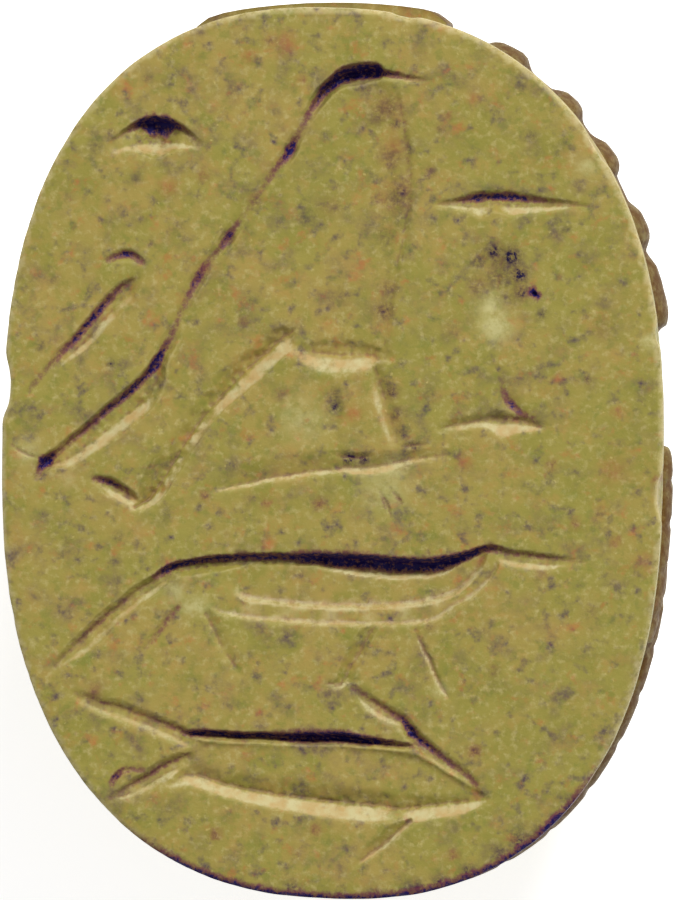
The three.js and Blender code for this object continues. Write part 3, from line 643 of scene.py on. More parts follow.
        (1.18, -5.19, 0.12, 0.13, 0.26, 0.9, 0.54), (1.44, -5.35, 0.14, 0.15, 0.2, 0.5, 0.81),
        (1.64, -5.62, 0.19, 0.16, 0.16, 0, 0.9), (1.95, -5.88, 0.14, 0.14, 0.24, 0.3, 0.72),
        (2.29, -6.12, 0.11, 0.13, 0.24, 0.5, 0.63), (2.64, -6.37, 0.09, 0.12, 0.2, 0.3, 0.54),
        (2.88, -6.61, 0.06, 0.1, 0.14, 0.1, 0.45), (3, -6.81, 0.01, 0.06, 0.06, 0, 0.27),
    ]),
    "fish_gill": (0, [
        (1.5, -6, 0.04, 0.06, 0.06, 0.7, 0.1), (1.95, -6.3, 0.06, 0.07, 0.06, 0.8, 0.1),
        (2.39, -6.65, 0.04, 0.06, 0.05, 0.6, 0.1),
    ]),
    "fish_low_fin": (0, [
        (0.49, -8.27, 0.02, 0.08, 0.06, 0.4, 0), (0.81, -8.03, 0.1, 0.18, 0.09, 0.8, 0.1),
        (1.18, -7.72, 0.14, 0.22, 0.1, 0.9, 0.15), (1.58, -7.36, 0.12, 0.16, 0.1, 0.8, 0.2),
    ]),
    "tiny_pit": (0, [
        (4.03, 3.24, 0.04, 0.05, 0.05, 0, 1), (4.07, 3.2, 0.2, 0.07, 0.07, 0, 1),
        (4.12, 3.16, 0.04, 0.05, 0.05, 0, 1),
    ]),
    "low_scratch": (0, [
        (0.95, -0.73, 0.02, 0.04, 0.04, 0.5, 0.1), (1.09, -0.97, 0.05, 0.05, 0.05, 0.5, 0.4),
        (1.22, -1.32, 0.02, 0.04, 0.04, 0.5, 0.1),
    ]),
    "low_scratch_two": (0, [
        (1.18, -0.69, 0.02, 0.04, 0.04, 0.5, 0.1), (1.36, -0.91, 0.05, 0.05, 0.05, 0.5, 0.4),
        (1.44, -1.09, 0.02, 0.04, 0.04, 0.5, 0.1),
    ]),
    "edge_scratch": (0, [
        (-6.45, 0.16, 0.02, 0.04, 0.05, 0.8, 0), (-6.2, 0, 0.05, 0.05, 0.06, 0.9, 0.2),
        (-5.92, -0.1, 0.02, 0.04, 0.05, 0.8, 0),
    ]),
}
SUNK = {  # depth, width of the edge, share of the edge that is bare stone with painted highlight, then the outline
    "falcon_body": (0.1, 0.4, 0, [
        (0.16, 7.44), (0.81, 7.58), (1.22, 7.34), (1.44, 6.37), (1.48, 4.84), (1.3, 3.43), (1.09, 2.21),
        (0.85, 1.78), (-0.28, 1.82), (-0.71, 2.07), (-1.42, 1.66), (-2.03, 1.05), (-2.68, 0.28),
        (-3.39, -0.49), (-3.69, -0.32), (-3.69, 0.69), (-3.39, 1.4), (-3.08, 2.51), (-2.68, 3.41),
        (-2.03, 4.34), (-1.42, 5.23), (-0.81, 6.06), (-0.36, 6.87),
    ]),
    "crocodile_body_rim": (0.1, 0.1, 0.6, [
        (-2.64, -2.19), (-1.86, -2.07), (-1.05, -2.05), (0.36, -2.11), (1.99, -2.15), (3.2, -1.93),
        (3.41, -2.15), (3.04, -2.72), (2.49, -3.08), (1.89, -3.41), (0.36, -3.45), (-0.85, -3.41),
        (-1.76, -3.32), (-2.31, -3.2), (-2.59, -2.84),
    ]),
    "crocodile_body": (0.24, 0.16, 0.62, [
        (-2.31, -2.19), (-1.86, -2.07), (-1.05, -2.05), (0.36, -2.11), (1.99, -2.15), (3.08, -1.93),
        (3.08, -2.23), (2.72, -2.72), (2.15, -3), (1.38, -3.12), (0.16, -3.16), (-0.85, -3.1), (-1.66, -3),
        (-2.07, -2.84), (-2.29, -2.55),
    ]),
    "fish_body": (0.1, 0.14, 0.15, [
        (-2.96, -5.76), (-1.66, -5.8), (0.26, -5.84), (1.48, -6), (1.99, -6.16), (2.64, -6.57),
        (3.12, -6.85), (2.8, -7.05), (1.99, -7.14), (0.77, -7.18), (-0.45, -7.05), (-1.66, -6.77),
        (-2.57, -6.53), (-2.96, -6.49), (-3.12, -6.12),
    ]),
}
STAINS_SHADE_AND_HIGHLIGHTS = [  # x, y, radius, dark share, or pale share below nothing, red share; some dark spots are painted shade round the falcon's legs, in the hollow at the right and along the bottom rim, and some pale ones painted highlight where a hollow faces the key light
    (-3.73, 7.54, 0.13, 0.5, 0), (-4.74, 6.16, 0.2, 0.45, 0), (-3.97, 5.51, 0.15, 0.5, 0),
    (-5.31, 5.15, 0.15, 0.35, 0), (-3.83, 4.68, 0.1, 0.6, 0), (-3.63, 4.22, 0.1, 0.7, 0.2),
    (-5.62, 3.49, 0.15, 0.45, 0), (-1.26, 8.29, 0.13, 0.6, 0.5), (-0.59, 7.52, 0.1, 0.4, 0.8),
    (-1.93, 7.26, 0.2, 0.35, 0), (-0.53, 4.74, 0.23, 0.45, 0), (-1.5, 5.09, 0.1, 0.7, 0),
    (-0.1, 6.35, 0.15, 0.35, 0), (0.93, 6.77, 0.25, 0.5, 0.3), (1.36, 5.37, 0.3, 0.45, 0.3),
    (1.01, 5.15, 0.2, 0.3, 0.5), (3.87, 7.36, 0.15, 0.5, 0), (4.01, 6.35, 0.23, 0.45, 0),
    (2.19, 6.53, 0.1, 0.7, 0.3), (2.33, 6.77, 0.1, 0.4, 0.9), (2.86, 7.12, 0.13, 0.2, 0.9),
    (1.99, 5.66, 0.15, 0.55, 0.4), (4.7, 4.5, 0.1, 0.7, 0), (1.05, 2.86, 0.28, 0.65, 0.3),
    (4.22, 2.82, 0.15, 0.75, 0), (-5.86, 2.15, 0.13, 0.7, 0), (-4.44, 1.8, 0.13, 0.7, 0),
    (-1.78, 2.64, 0.13, 0.5, 0.5), (-1.01, 1.18, 0.13, 0.45, 0.3), (-2.55, -0.85, 0.13, 0.7, 0.7),
    (-1.3, -0.99, 0.1, 0.5, 1), (-0.24, -1.01, 0.13, 0.8, 1), (-3.32, -1.2, 0.18, 0.45, 0),
    (-5.31, -1.74, 0.13, 0.5, 0), (-4.3, -1.68, 0.15, 0.5, 0), (-5.09, -2.11, 0.15, 0.4, 0),
    (-1.26, -1.82, 0.18, 0, 1), (1.99, 1.18, 0.25, 0.4, 0), (5.15, 1.48, 0.1, 0.8, 0.3),
    (4.56, 1.52, 0.13, 0.1, 0.9), (5.74, 0.85, 0.13, 0.2, 0.9), (6.59, -0.51, 0.1, 0.6, 1),
    (4.42, -0.22, 0.13, 0.6, 0.7), (2.68, -0.14, 0.2, 0.1, 0.9), (0.43, 0.81, 0.2, 0.1, 1),
    (5.39, -1.2, 0.13, 0.6, 0.1), (4.91, -1.4, 0.13, 0.5, 0.8), (5.72, -1.76, 0.13, 0.5, 1),
    (4.22, -2.37, 0.2, 0.35, 0.3), (-2.33, -7.66, 0.13, 0.7, 1), (-0.32, -7.56, 0.13, 0.6, 0.9),
    (-4.78, -4.78, 0.18, 0.4, 0.5), (-1.44, -5.19, 0.1, 0, 1), (-3.24, -7.14, 0.25, 0.35, 0),
    (2.88, -5.96, 0.15, 0.8, 1), (1.99, -3.49, 0.13, 0.6, 0.2), (3.26, -4.36, 0.15, 0.5, 0.3),
    (1.16, -4.01, 0.1, 0.5, 0), (2.47, -8.05, 0.13, 0.5, 0.9), (4.76, -6.93, 0.15, 0.6, 0),
    (-4.3, 7.78, 0.18, 0.3, 0.2), (-0.89, 8.23, 0.3, 0.1, 0.7), (-1.66, 7.99, 0.18, 0.1, 0.8),
    (4.62, 6.16, 0.2, 0.2, 0), (-3.28, 5.35, 0.23, 0.1, 0.7), (-2.57, 5.59, 0.18, 0.3, 0.6),
    (3, -2.15, 0.13, 0.1, 0.6), (5.64, -0.32, 0.35, 0.1, 0.5), (-1.66, -0.93, 0.15, 0.3, 0.1),
    (5.23, -3.16, 0.25, 0.25, 0.1), (6.24, -2.15, 0.23, 0.1, 0.5), (-0.65, -8.03, 0.18, 0.3, 0.2),
    (4.5, -7.36, 0.23, 0.9, 0), (3.81, -7.78, 0.33, 0.8, 0), (3.41, -8.03, 0.25, 0.6, 0),
    (2.76, -8.39, 0.2, 0.9, 0), (2.19, -8.64, 0.23, 0.9, 0), (1.58, -8.8, 0.23, 0.9, 0),
    (0.87, -8.9, 0.23, 0.9, 0), (0.16, -8.94, 0.2, 0.7, 0), (1.07, 6.93, 0.38, 0.45, 0.4),
    (1.2, 5.96, 0.33, 0.45, 0.3), (1.32, 5.09, 0.38, 0.5, 0.25), (1.09, 4.38, 0.28, 0.35, 0.1),
    (1.07, -0.69, 0.61, -0.5, 0), (3.32, 2.56, 0.4, -1, 0), (-0.61, 0.69, 0.56, -0.45, 0),
    (-2.68, -3.06, 0.23, -0.9, 0), (2.19, -4.74, 0.18, -0.9, 0), (-6.16, 0.04, 0.33, -0.6, 0),
    (6.41, 2.27, 0.18, -0.9, 0), (5.15, 5.76, 0.23, -0.7, 0), (-5.31, -0.53, 0.23, -0.4, 0.3),
    (3.51, 3.12, 0.3, 0.3, 0.1), (3.37, 3.89, 0.33, 0.4, 0.2), (2.94, 3.34, 0.28, 0.5, 0.3),
    (0.16, 3.12, 0.35, 0.25, 0.1), (-1.66, 3.12, 0.3, 0.25, 0), (-0.04, 4.95, 0.3, 0.25, 0.2),
    (2.39, 2.51, 0.25, 0.25, 0.1), (5.43, 2.51, 0.3, 0.2, 0.2), (1.78, 7.99, 0.23, 0.25, 0),
    (-3.08, 4.54, 0.2, 0.25, 0.1), (3.63, 3.95, 0.28, 1, 0.2), (3.77, 3.59, 0.26, 1, 0.3),
    (3.83, 3.26, 0.22, 0.9, 0.4), (3.26, 4.07, 0.28, 0.8, 0.1), (2.96, 3.87, 0.25, 0.65, 0.1),
    (3.3, 3.53, 0.33, 0.5, 0.1), (2.96, 3.45, 0.2, 0.3, 0.3), (-2.09, 4.34, 0.15, 1, 0.2),
    (-2.7, 3.51, 0.13, 0.9, 0.2), (-0.83, 6.12, 0.15, 1, 0), (-0.93, 5.96, 0.13, 0.8, 0.3),
    (-2.57, 3.69, 0.13, 0.6, 0.9), (-1.54, 5.09, 0.18, 0.5, 0.3), (-0.45, 6.77, 0.13, 0.6, 0.1),
    (-1.66, -3.16, 0.23, -0.5, 0.3), (-0.85, -3.22, 0.23, -0.5, 0.35), (-0.04, -3.26, 0.23, -0.5, 0.4),
    (0.77, -3.28, 0.23, -0.5, 0.4), (1.48, -3.22, 0.23, -0.5, 0.4), (2.13, -2.96, 0.23, -0.4, 0.4),
    (-3.16, -2.8, 0.3, -0.6, 0), (-2.88, -3.08, 0.23, -0.7, 0), (0.06, 0.93, 0.23, 0.75, 0),
    (0.12, 1.2, 0.18, 0.5, 0), (0.36, -0.1, 0.23, 0.95, 0), (0.65, -0.1, 0.2, 0.85, 0),
    (1.66, 0.16, 0.2, 0.7, 0), (1.32, 0.79, 0.2, 0.65, 0.3), (1.22, 1.24, 0.18, 0.75, 0.4),
    (1.42, 0.45, 0.18, 0.6, 0), (1.24, -0.32, 0.35, -0.7, 0), (-0.81, -8.82, 0.28, 1, 0),
    (4.22, -7.58, 0.25, 0.8, 0), (4.93, -7.01, 0.18, 0.7, 0), (1.78, -8.72, 0.18, 0.8, 0),
    (-0.12, -8.92, 0.18, 0.8, 0), (-1.42, -8.82, 0.18, 0.7, 0), (-1.86, -8.72, 0.18, 0.7, 0),
    (-2.37, -8.55, 0.15, 0.7, 0), (-3.08, -8.21, 0.15, 0.7, 0), (-3.59, -7.89, 0.15, 0.5, 0),
    (5.43, -6.41, 0.2, 0.4, 0), (-4.3, -7.22, 0.15, 0.3, 0), (1.15, 3.3, 0.25, 0.45, 0.2),
    (1.42, 5.25, 0.16, 0.85, 0.5), (1.4, 4.74, 0.28, 0.4, 0), (1.29, 6.62, 0.14, 0.75, 0.2),
    (1.27, 6.17, 0.25, 0.2, 0.6), (3.2, 2.96, 0.32, -0.8, 0),
]


def near(places, points, margin=0.9):
    """Which places lie round the points."""
    line = np.array(points)[:, :2]
    return np.flatnonzero(np.all((places > line.min(0) - margin) & (places < line.max(0) + margin), axis=1))


def joined(one_depth, other_depth, rounding=0.03):
    """The deeper of two depths, with a soft passage from one to the other."""
    close = np.maximum(rounding - np.abs(one_depth - other_depth), 0) / rounding
    both = np.clip(np.minimum(one_depth, other_depth) / rounding, 0, 1)
    return np.maximum(one_depth, other_depth) + close**2 * rounding / 4 * both


def carved(places):
    """Depth of the carving at places on the face, and the share of bare stone, a painted highlight where it
    faces the key light, and of dirt with painted shade.
    """
    shaken = places + WAVER * np.stack([rough(places, 0.5, 1), rough(places, 0.5, 7)], axis=1)
    shaken += TREMBLE * np.stack([rough(places, 0.13, 3), rough(places, 0.13, 9)], axis=1)
    uneven = 1 + 0.2 * rough(places, 0.35, 5) + 0.14 * rough(places, 0.12, 6)
    deepest, bare_and_lit, dirt_and_shade = np.zeros((3, len(places)))
    for depth, edge, bare_and_lit_share, points in SUNK.values():
        close = near(shaken, points)
        down, bare_and_lit_here = sunk(shaken[close], depth, edge, bare_and_lit_share, points)
        deepest[close] = joined(deepest[close], down)
        bare_and_lit[close] = np.maximum(bare_and_lit[close], bare_and_lit_here)
    for floor_share, points in CUTS.values():
        close = near(shaken, points)
        down, bare_and_lit_here, dirt_and_shade_here = groove(shaken[close], floor_share, points)
        down = down * uneven[close]
        cut = np.clip(down / 0.03, 0, 1) * (down > deepest[close] - 0.02)
        deepest[close] = joined(deepest[close], down)
        bare_and_lit[close] = np.maximum(bare_and_lit[close] * (1 - 0.5 * cut), bare_and_lit_here * cut)
        dirt_and_shade[close] = np.maximum(dirt_and_shade[close], dirt_and_shade_here)
    return deepest, bare_and_lit, dirt_and_shade


def face_places(piece):
    """Where the corners are round the oval's middle, and which of them are on the face."""
    places = corners(piece)
    return places[:, :2] - (0, FACE_Y), places[:, 2] > HEIGHT - 0.002


def polygon_corners(piece):
    """The polygon and the corner at each corner of a polygon, and each polygon's count of them."""
    counts = read(piece.data.polygons, "loop_total", 1, int)
    loops = read(piece.data.loops, "vertex_index", 1, int)
    return np.repeat(np.arange(len(counts)), counts), loops, counts


for tolerance in FINENESS:
    places, on_face = face_places(stone)
    depth = np.zeros(len(places))
    depth[on_face] = carved(places[on_face])[0]
    owner, loops, counts = polygon_corners(stone)
    middle = np.stack([np.bincount(owner, places[loops, i]) for i in (0, 1)], axis=1) / counts[:, None]
    whole = np.bincount(owner, on_face[loops]) == counts
    at_middle = np.zeros(len(counts))
    at_middle[whole] = carved(middle[whole])[0]
    mean = np.bincount(owner, depth[loops]) / counts
    spread_here = np.zeros(len(counts))
    np.maximum.at(spread_here, owner, np.abs(depth[loops] - mean[owner]))
    bent = np.abs(at_middle - mean) + 0.12 * spread_here
    choose(stone, whole & (bent > tolerance))
    bpy.ops.mesh.subdivide(number_cuts=1)
    bpy.ops.object.mode_set(mode="OBJECT")
apply_modifier(stone, "TRIANGULATE", quad_method="SHORTEST_DIAGONAL")

at = corners(stone)
one, other = read(stone.data.edges, "vertices", 2, int).T
neighbours = np.bincount(one, minlength=len(at)) + np.bincount(other, minlength=len(at))


def averaged(values, rounds=1):
    """Each corner's value, half mixed with the mean of its neighbours'."""
    for _ in range(rounds):
        total = np.bincount(one, values[other], len(at)) + np.bincount(other, values[one], len(at))
        values = 0.5 * values + 0.5 * total / neighbours
    return values


places, on_face = face_places(stone)
depth, bare_and_lit, dirt_and_shade = np.zeros((3, len(at)))
depth[on_face], bare_and_lit[on_face], dirt_and_shade[on_face] = carved(places[on_face])
depth = np.where(on_face, averaged(depth), 0)
at[:, 2] -= depth


# The wear: chips in the plate's edge, a face that is not quite flat, stains and worn places, and painted
# shade and painted highlight. The skin is moved by small amounts, and the share of each finish is kept at
# its corners for the glaze.
EDGE_FALL = 0.03
CHIP_REACH = 0.6
CHIPS = (  # degrees round the oval, half width in degrees, depth
    (168.5, 4.5, 0.14), (80.5, 1.5, 0.05), (49, 2.5, 0.06), (20, 1.5, 0.05), (-7, 3.5, 0.1),
)
angle = np.arctan2(places[:, 1], places[:, 0])
from_edge = oval_radius(angle) - np.hypot(*places.T)
at[on_face, 2] -= EDGE_FALL * np.clip(1 - from_edge[on_face] / 0.5, 0, 1) ** 2
long_waves, short_waves = rough(places[on_face], 2.2, 11), rough(places[on_face], 0.3, 12)
at[on_face, 2] -= 0.012 * (1 + long_waves) + 0.004 * (1 + short_waves)
rim = (from_edge < CHIP_REACH) & (at[:, 2] > PLATE_UNDER + 0.1)
push = np.zeros(len(at))
for degrees, half_width, chip_depth in CHIPS:
    turn = (np.degrees(angle) - degrees + 180) % 360 - 180
    upper = np.clip((at[:, 2] - HEIGHT + 1.1) / 0.6, 0, 1)
    chipped = np.exp(-(turn / half_width) ** 4) * upper * np.clip(1 - from_edge / CHIP_REACH, 0, 1)
    push += chip_depth * chipped
push[rim] += 0.01 * (1 + rough(places[rim], 0.5, 13)) * (1 - from_edge[rim].clip(0) / CHIP_REACH)
at[:, :2] -= push[:, None] * np.stack([np.cos(angle), np.sin(angle)], axis=1)
low, high = np.array(cad_low) * MM, np.array(cad_high) * MM
at = np.clip(at, low + 0.001, high - 0.0005)
move_corners(stone, at)

normals = normals_of(stone)
step = at[other] - at[one]
length_squared = np.einsum("ij,ij->i", step, step).clip(1e-6)
bend_one = np.einsum("ij,ij->i", step, normals[one]) / length_squared
bend_other = -np.einsum("ij,ij->i", step, normals[other]) / length_squared
bend = (np.bincount(one, bend_one, len(at)) + np.bincount(other, bend_other, len(at))) / neighbours
bend = averaged(bend, 2)
ridge = np.clip(-bend / 4, 0, 1)
hollow = np.clip(bend / 4, 0, 1)
LIGHT_SIDE = (0.34, 0.94)
facing = averaged(normals @ np.array([*LIGHT_SIDE, 0.0]))
# painted highlight: the bare stone is kept only on walls that face the key light, so the lit walls show
# pale
bare_and_lit = averaged(bare_and_lit * np.clip(facing * 4 - 0.15, 0, 1))
dirt_and_shade = averaged(dirt_and_shade)
red, stain_and_shade, pale_and_lit = np.zeros((3, len(at)))
on_plate = at[:, 2] > HEIGHT - 1
# dark spots, partly stains and partly painted shade, and pale spots, partly pale glaze and partly painted
# highlight
for x, y, size, dark_share, red_share in STAINS_SHADE_AND_HIGHLIGHTS:
    away = np.hypot(places[:, 0] - x, places[:, 1] - y)
    near_spot = np.exp(-away**2 / (0.5 * size**2)) * on_plate
    stain_and_shade = np.maximum(stain_and_shade, dark_share * near_spot)
    red = np.maximum(red, red_share * near_spot)
    pale_and_lit = np.maximum(pale_and_lit, -dark_share * near_spot)
rim_wear = np.clip(1.2 - from_edge / 0.09, 0, 1) * np.clip((at[:, 2] - HEIGHT + 0.4) / 0.35, 0, 1)
# painted shade: the plate's edge below the tail, away from the key light, is darkened and keeps no rim wear
below_tail = np.clip(np.degrees(angle) + 122, 0, 12) / 12 * np.clip(-46 - np.degrees(angle), 0, 12) / 12
bottom_rim_shade = below_tail * np.clip(1.5 - from_edge / 0.13, 0, 1) * (at[:, 2] > PLATE_UNDER)
rim_wear *= 1 - below_tail
dirt_and_shade = np.maximum(dirt_and_shade, bottom_rim_shade)
finishes = {
    "pale_and_lit": pale_and_lit, "bare_and_lit": bare_and_lit, "dirt_and_shade": dirt_and_shade, "ridge": ridge,
    "hollow": hollow, "red": red, "stain_and_shade": stain_and_shade, "rim": rim_wear,
}
for name, values in finishes.items():
    stone.data.attributes.new(name, "FLOAT", "POINT").data.foreach_set("value", values)
move_corners(stone, at / MM)
select_only(stone)
bpy.ops.object.shade_smooth()


# The glaze: olive green over pale steatite, mottled dark green and purple, flecked with red and cream.
# It has worn off the open walls of the cuts and the edges, shown pale as a painted highlight where those
# walls face the key light, and dark dirt with painted shade sits in the deep lines, the creases and the
# undercut.
glaze = bpy.data.materials.new("olive_glaze")
glaze.use_nodes = True
tree = glaze.node_tree
tree.nodes.clear()


def node(kind, **settings):
    made = tree.nodes.new("ShaderNode" + kind)
    for name, value in settings.items():
        setattr(made, name, value)
    return made


def put(socket, value):
    if isinstance(value, bpy.types.NodeSocket):
        tree.links.new(value, socket)
    else:
        socket.default_value = value


def rgb(red, green, blue):
    """A colour from its display values, as the linear colour that the nodes take."""
    values = [((v / 255 + 0.055) / 1.055) ** 2.4 for v in (red, green, blue)]
    return (*values, 1)


coordinates = node("TexCoord").outputs["Object"]


def cloud(scale, detail=3, roughness=0.55, seed=0):
    """Noise whose lumps are about 1/scale of a millimetre."""
    place = node("Mapping")
    put(place.inputs["Vector"], coordinates)
    put(place.inputs["Location"], (seed * 3.7, seed * 1.9, seed * 5.3))
    put(place.inputs["Scale"], (MM, MM, MM))
    made = node("TexNoise")
    put(made.inputs["Vector"], place.outputs["Vector"])
    put(made.inputs["Scale"], scale)
    put(made.inputs["Detail"], detail)
    put(made.inputs["Roughness"], roughness)
    return made.outputs["Fac"]


def maths(operation, a, b, clamp=False):
    made = node("Math", operation=operation, use_clamp=clamp)
    put(made.inputs[0], a)
    put(made.inputs[1], b)
    return made.outputs[0]


def times(a, b, clamp=False):
    return maths("MULTIPLY", a, b, clamp)


def plus(a, b):
    return maths("ADD", a, b)


def between_levels(value, low, high):
    """From 0 at the low level to 1 at the high one, softly."""
    made = node("MapRange", interpolation_type="SMOOTHSTEP")
    put(made.inputs["Value"], value)
    put(made.inputs["From Min"], low)
    put(made.inputs["From Max"], high)
    return made.outputs["Result"]


def lumps(scale, low, high, detail=3, roughness=0.55, seed=0):
    return between_levels(cloud(scale, detail, roughness, seed), low, high)


def blend(share, under, over):
    made = node("Mix", data_type="RGBA")
    put(made.inputs["Factor"], share)
    put(made.inputs["A"], under)
    put(made.inputs["B"], over)
    return made.outputs["Result"]


def worn(name):
    """The share of a finish that the wear left at the corners of the skin."""
    return node("Attribute", attribute_name=name).outputs["Fac"]


OLIVE, TAN_OLIVE, DEEP_OLIVE = rgb(142, 133, 61), rgb(153, 134, 68), rgb(134, 127, 55)
OCHRE, STRAW, CREAM = rgb(168, 130, 70), rgb(178, 164, 108), rgb(196, 178, 112)
MAUVE_BROWN, MAUVE_GREY, LEAF_GREEN = rgb(102, 84, 68), rgb(80, 64, 70), rgb(104, 114, 44)
RUST, PLUM, NIGHT, MILKY_OLIVE = rgb(172, 98, 56), rgb(62, 44, 56), rgb(20, 12, 50), rgb(176, 168, 112)
EARTH_AND_SHADE, LIT_BARE_STONE, LIT_TINGED_STONE = rgb(84, 54, 6), rgb(184, 174, 126), rgb(176, 148, 94)
RUBBED_EDGE, WINE, INDIGO = rgb(196, 182, 136), rgb(104, 50, 64), rgb(24, 12, 78)

ground = blend(lumps(0.5, 0.36, 0.64, seed=1), OLIVE, TAN_OLIVE)
ground = blend(lumps(1.7, 0.42, 0.68, 4, 0.6, seed=2), ground, DEEP_OLIVE)
ground = blend(times(lumps(1.9, 0.5, 0.72, 5, 0.68, seed=14), 0.45), ground, OCHRE)
ground = blend(times(lumps(7, 0.48, 0.78, 4, 0.6, seed=3), 0.66), ground, STRAW)
patches = plus(times(lumps(0.6, 0.4, 0.66, 2, seed=4), 0.6), 0.4)
torn = lumps(5, 0.3, 0.62, 5, 0.7, seed=10)
ragged = lumps(9, 0.32, 0.66, 4, 0.75, seed=15)
uneven = plus(times(ragged, 0.7), 0.45)
mottle = times(times(lumps(1.8, 0.46, 0.8, 3, 0.5, seed=5), patches), uneven, clamp=True)
ground = blend(mottle, ground, MAUVE_BROWN)
fine_mottle = times(lumps(3.4, 0.52, 0.82, 3, 0.5, seed=6), uneven, clamp=True)
ground = blend(fine_mottle, ground, MAUVE_GREY)
ground = blend(times(lumps(3.6, 0.54, 0.7, 4, 0.6, seed=7), 0.4), ground, LEAF_GREEN)
flecks = times(lumps(2.6, 0.56, 0.76, 3, 0.6, seed=8), uneven, clamp=True)
rusty = maths("MAXIMUM", times(flecks, 0.7), times(worn("red"), uneven), clamp=True)
ground = blend(times(rusty, 0.75), ground, RUST)
# stains and spots of painted shade: plum, and night blue where they are darkest
stained_and_shaded = times(worn("stain_and_shade"), plus(times(ragged, 1.1), 0.3), clamp=True)
ground = blend(stained_and_shaded, ground, PLUM)
ground = blend(between_levels(stained_and_shaded, 0.72, 1.0), ground, NIGHT)
ground = blend(times(lumps(7, 0.66, 0.8, seed=9), 0.45), ground, CREAM)
# pale patches, some of them a painted highlight where a wall faces the key light
ground = blend(times(worn("pale_and_lit"), plus(torn, 0.3), clamp=True), ground, MILKY_OLIVE)

place_on_stone = node("SeparateXYZ")
put(place_on_stone.inputs["Vector"], coordinates)
level = place_on_stone.outputs["Z"]
below_plate = between_levels(times(level, -MM), -PLATE_UNDER - 0.1, -PLATE_UNDER + 0.15)
in_undercut = times(below_plate, between_levels(times(level, MM), 3.2, 4.4))
# painted shade, partly earth: the legs in the undercut below the plate are darkened, less on their ridges
raised = times(between_levels(worn("ridge"), 0.1, 0.5), -0.3)
undercut_earth_and_shade = plus(plus(times(torn, 0.35), 0.66), raised)
ground = blend(times(in_undercut, undercut_earth_and_shade, clamp=True), ground, EARTH_AND_SHADE)

# Bare stone on the open walls, which is a painted highlight on the walls that face the key light.
scraped_and_lit = blend(lumps(3, 0.35, 0.7, 4, seed=11), LIT_BARE_STONE, LIT_TINGED_STONE)
bare_and_lit_share = times(worn("bare_and_lit"), plus(times(torn, 0.8), 0.5), clamp=True)
colour = blend(between_levels(bare_and_lit_share, 0.06, 0.85), ground, scraped_and_lit)
edge_share = times(torn, plus(times(in_undercut, 0.3), 0.16))
edge_share = times(between_levels(worn("ridge"), 0.2, 0.9), edge_share)
rim_share = times(worn("rim"), plus(times(torn, 0.75), 0.05), clamp=True)
colour = blend(maths("MAXIMUM", edge_share, rim_share, clamp=True), colour, RUBBED_EDGE)
# dirt and painted shade in the deep lines: wine, then indigo where it is darkest, over the shaded steep
# walls
dirt_and_shade_share = times(worn("dirt_and_shade"), plus(times(ragged, 0.7), 0.58), clamp=True)
# painted shade: concave creases are darkened towards wine
hollow_shade = times(between_levels(worn("hollow"), 0.1, 0.8), 0.35)
soil_and_shade = times(between_levels(dirt_and_shade_share, 0.1, 0.6), 0.8)
colour = blend(maths("MAXIMUM", soil_and_shade, hollow_shade), colour, WINE)
colour = blend(between_levels(dirt_and_shade_share, 0.55, 0.95), colour, INDIGO)

grain = plus(cloud(11, 4, 0.6, seed=12), times(cloud(2.5, 3, seed=13), 2.0))
bump = node("Bump")
put(bump.inputs["Height"], grain)
put(bump.inputs["Strength"], 0.6)
put(bump.inputs["Distance"], 0.012 / MM)
shader = node("BsdfPrincipled")
put(shader.inputs["Base Color"], colour)
put(shader.inputs["Roughness"], plus(times(torn, 0.2), 0.45))
put(shader.inputs["Specular IOR Level"], 0.18)
put(shader.inputs["Normal"], bump.outputs["Normal"])
put(node("OutputMaterial").inputs["Surface"], shader.outputs["BSDF"])
stone.data.materials.clear()
stone.data.materials.append(glaze)

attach(stone, "root")
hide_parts("scarab")


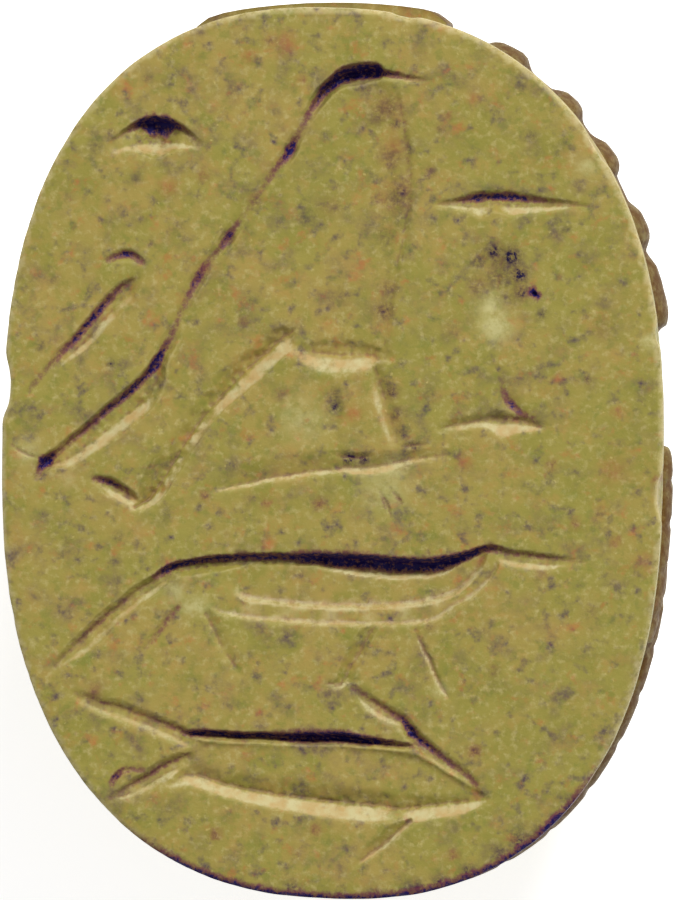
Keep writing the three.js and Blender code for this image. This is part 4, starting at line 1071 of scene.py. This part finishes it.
# The stage: a pale floor, one soft key light from beyond the head and a little to the right, and a
# fill from all round. The camera looks almost straight down, from a long way off.
CAMERA_AWAY = 0.25087
LEAN_RIGHT, LEAN_UP = 4.5, 1.5  # degrees

bpy.ops.mesh.primitive_plane_add(size=2, location=(0, 0, 0))
floor = bpy.context.object
floor.name = "floor"
paper = bpy.data.materials.new("paper")
paper.use_nodes = True
paper_shader = paper.node_tree.nodes["Principled BSDF"]
put(paper_shader.inputs["Base Color"], (0.9, 0.9, 0.9, 1))
put(paper_shader.inputs["Roughness"], 0.9)
put(paper_shader.inputs["Emission Color"], (1, 1, 1, 1))
put(paper_shader.inputs["Emission Strength"], 0.62)
floor.data.materials.append(paper)

world = bpy.data.worlds.new("studio")
world.use_nodes = True
put(world.node_tree.nodes["Background"].inputs["Color"], (1, 1, 1, 1))
put(world.node_tree.nodes["Background"].inputs["Strength"], 0.45)
bpy.context.scene.world = world

target = Vector((0.115, FACE_Y + 0.075, HEIGHT)) / MM


def aimed(kind, name, towards, distance):
    """A camera or light that looks at the target from so far in the given direction."""
    data = bpy.data.cameras.new(name) if kind == "camera" else bpy.data.lights.new(name, "AREA")
    made = bpy.data.objects.new(name, data)
    bpy.context.collection.objects.link(made)
    back_axis = Vector(towards).normalized()
    side_axis = Vector((0, 1, 0)).cross(back_axis).normalized()
    up_axis = back_axis.cross(side_axis)
    made.matrix_world = Matrix.Translation(target + back_axis * distance) @ Matrix(
        (side_axis, up_axis, back_axis)
    ).transposed().to_4x4()
    return made


key = aimed("light", "key", (LIGHT_SIDE[0] * 0.7, LIGHT_SIDE[1] * 0.7, 0.72), 0.5)
key.data.size = 0.16
key.data.energy = 2.6

leaning = (np.sin(np.radians(LEAN_RIGHT)), np.sin(np.radians(LEAN_UP)), 1)
camera = aimed("camera", "camera", leaning, CAMERA_AWAY)
camera.data.lens = 500
camera.data.clip_start = 0.01
camera.data.clip_end = 10
bpy.context.scene.camera = camera
bpy.context.scene.view_settings.view_transform = "Standard"
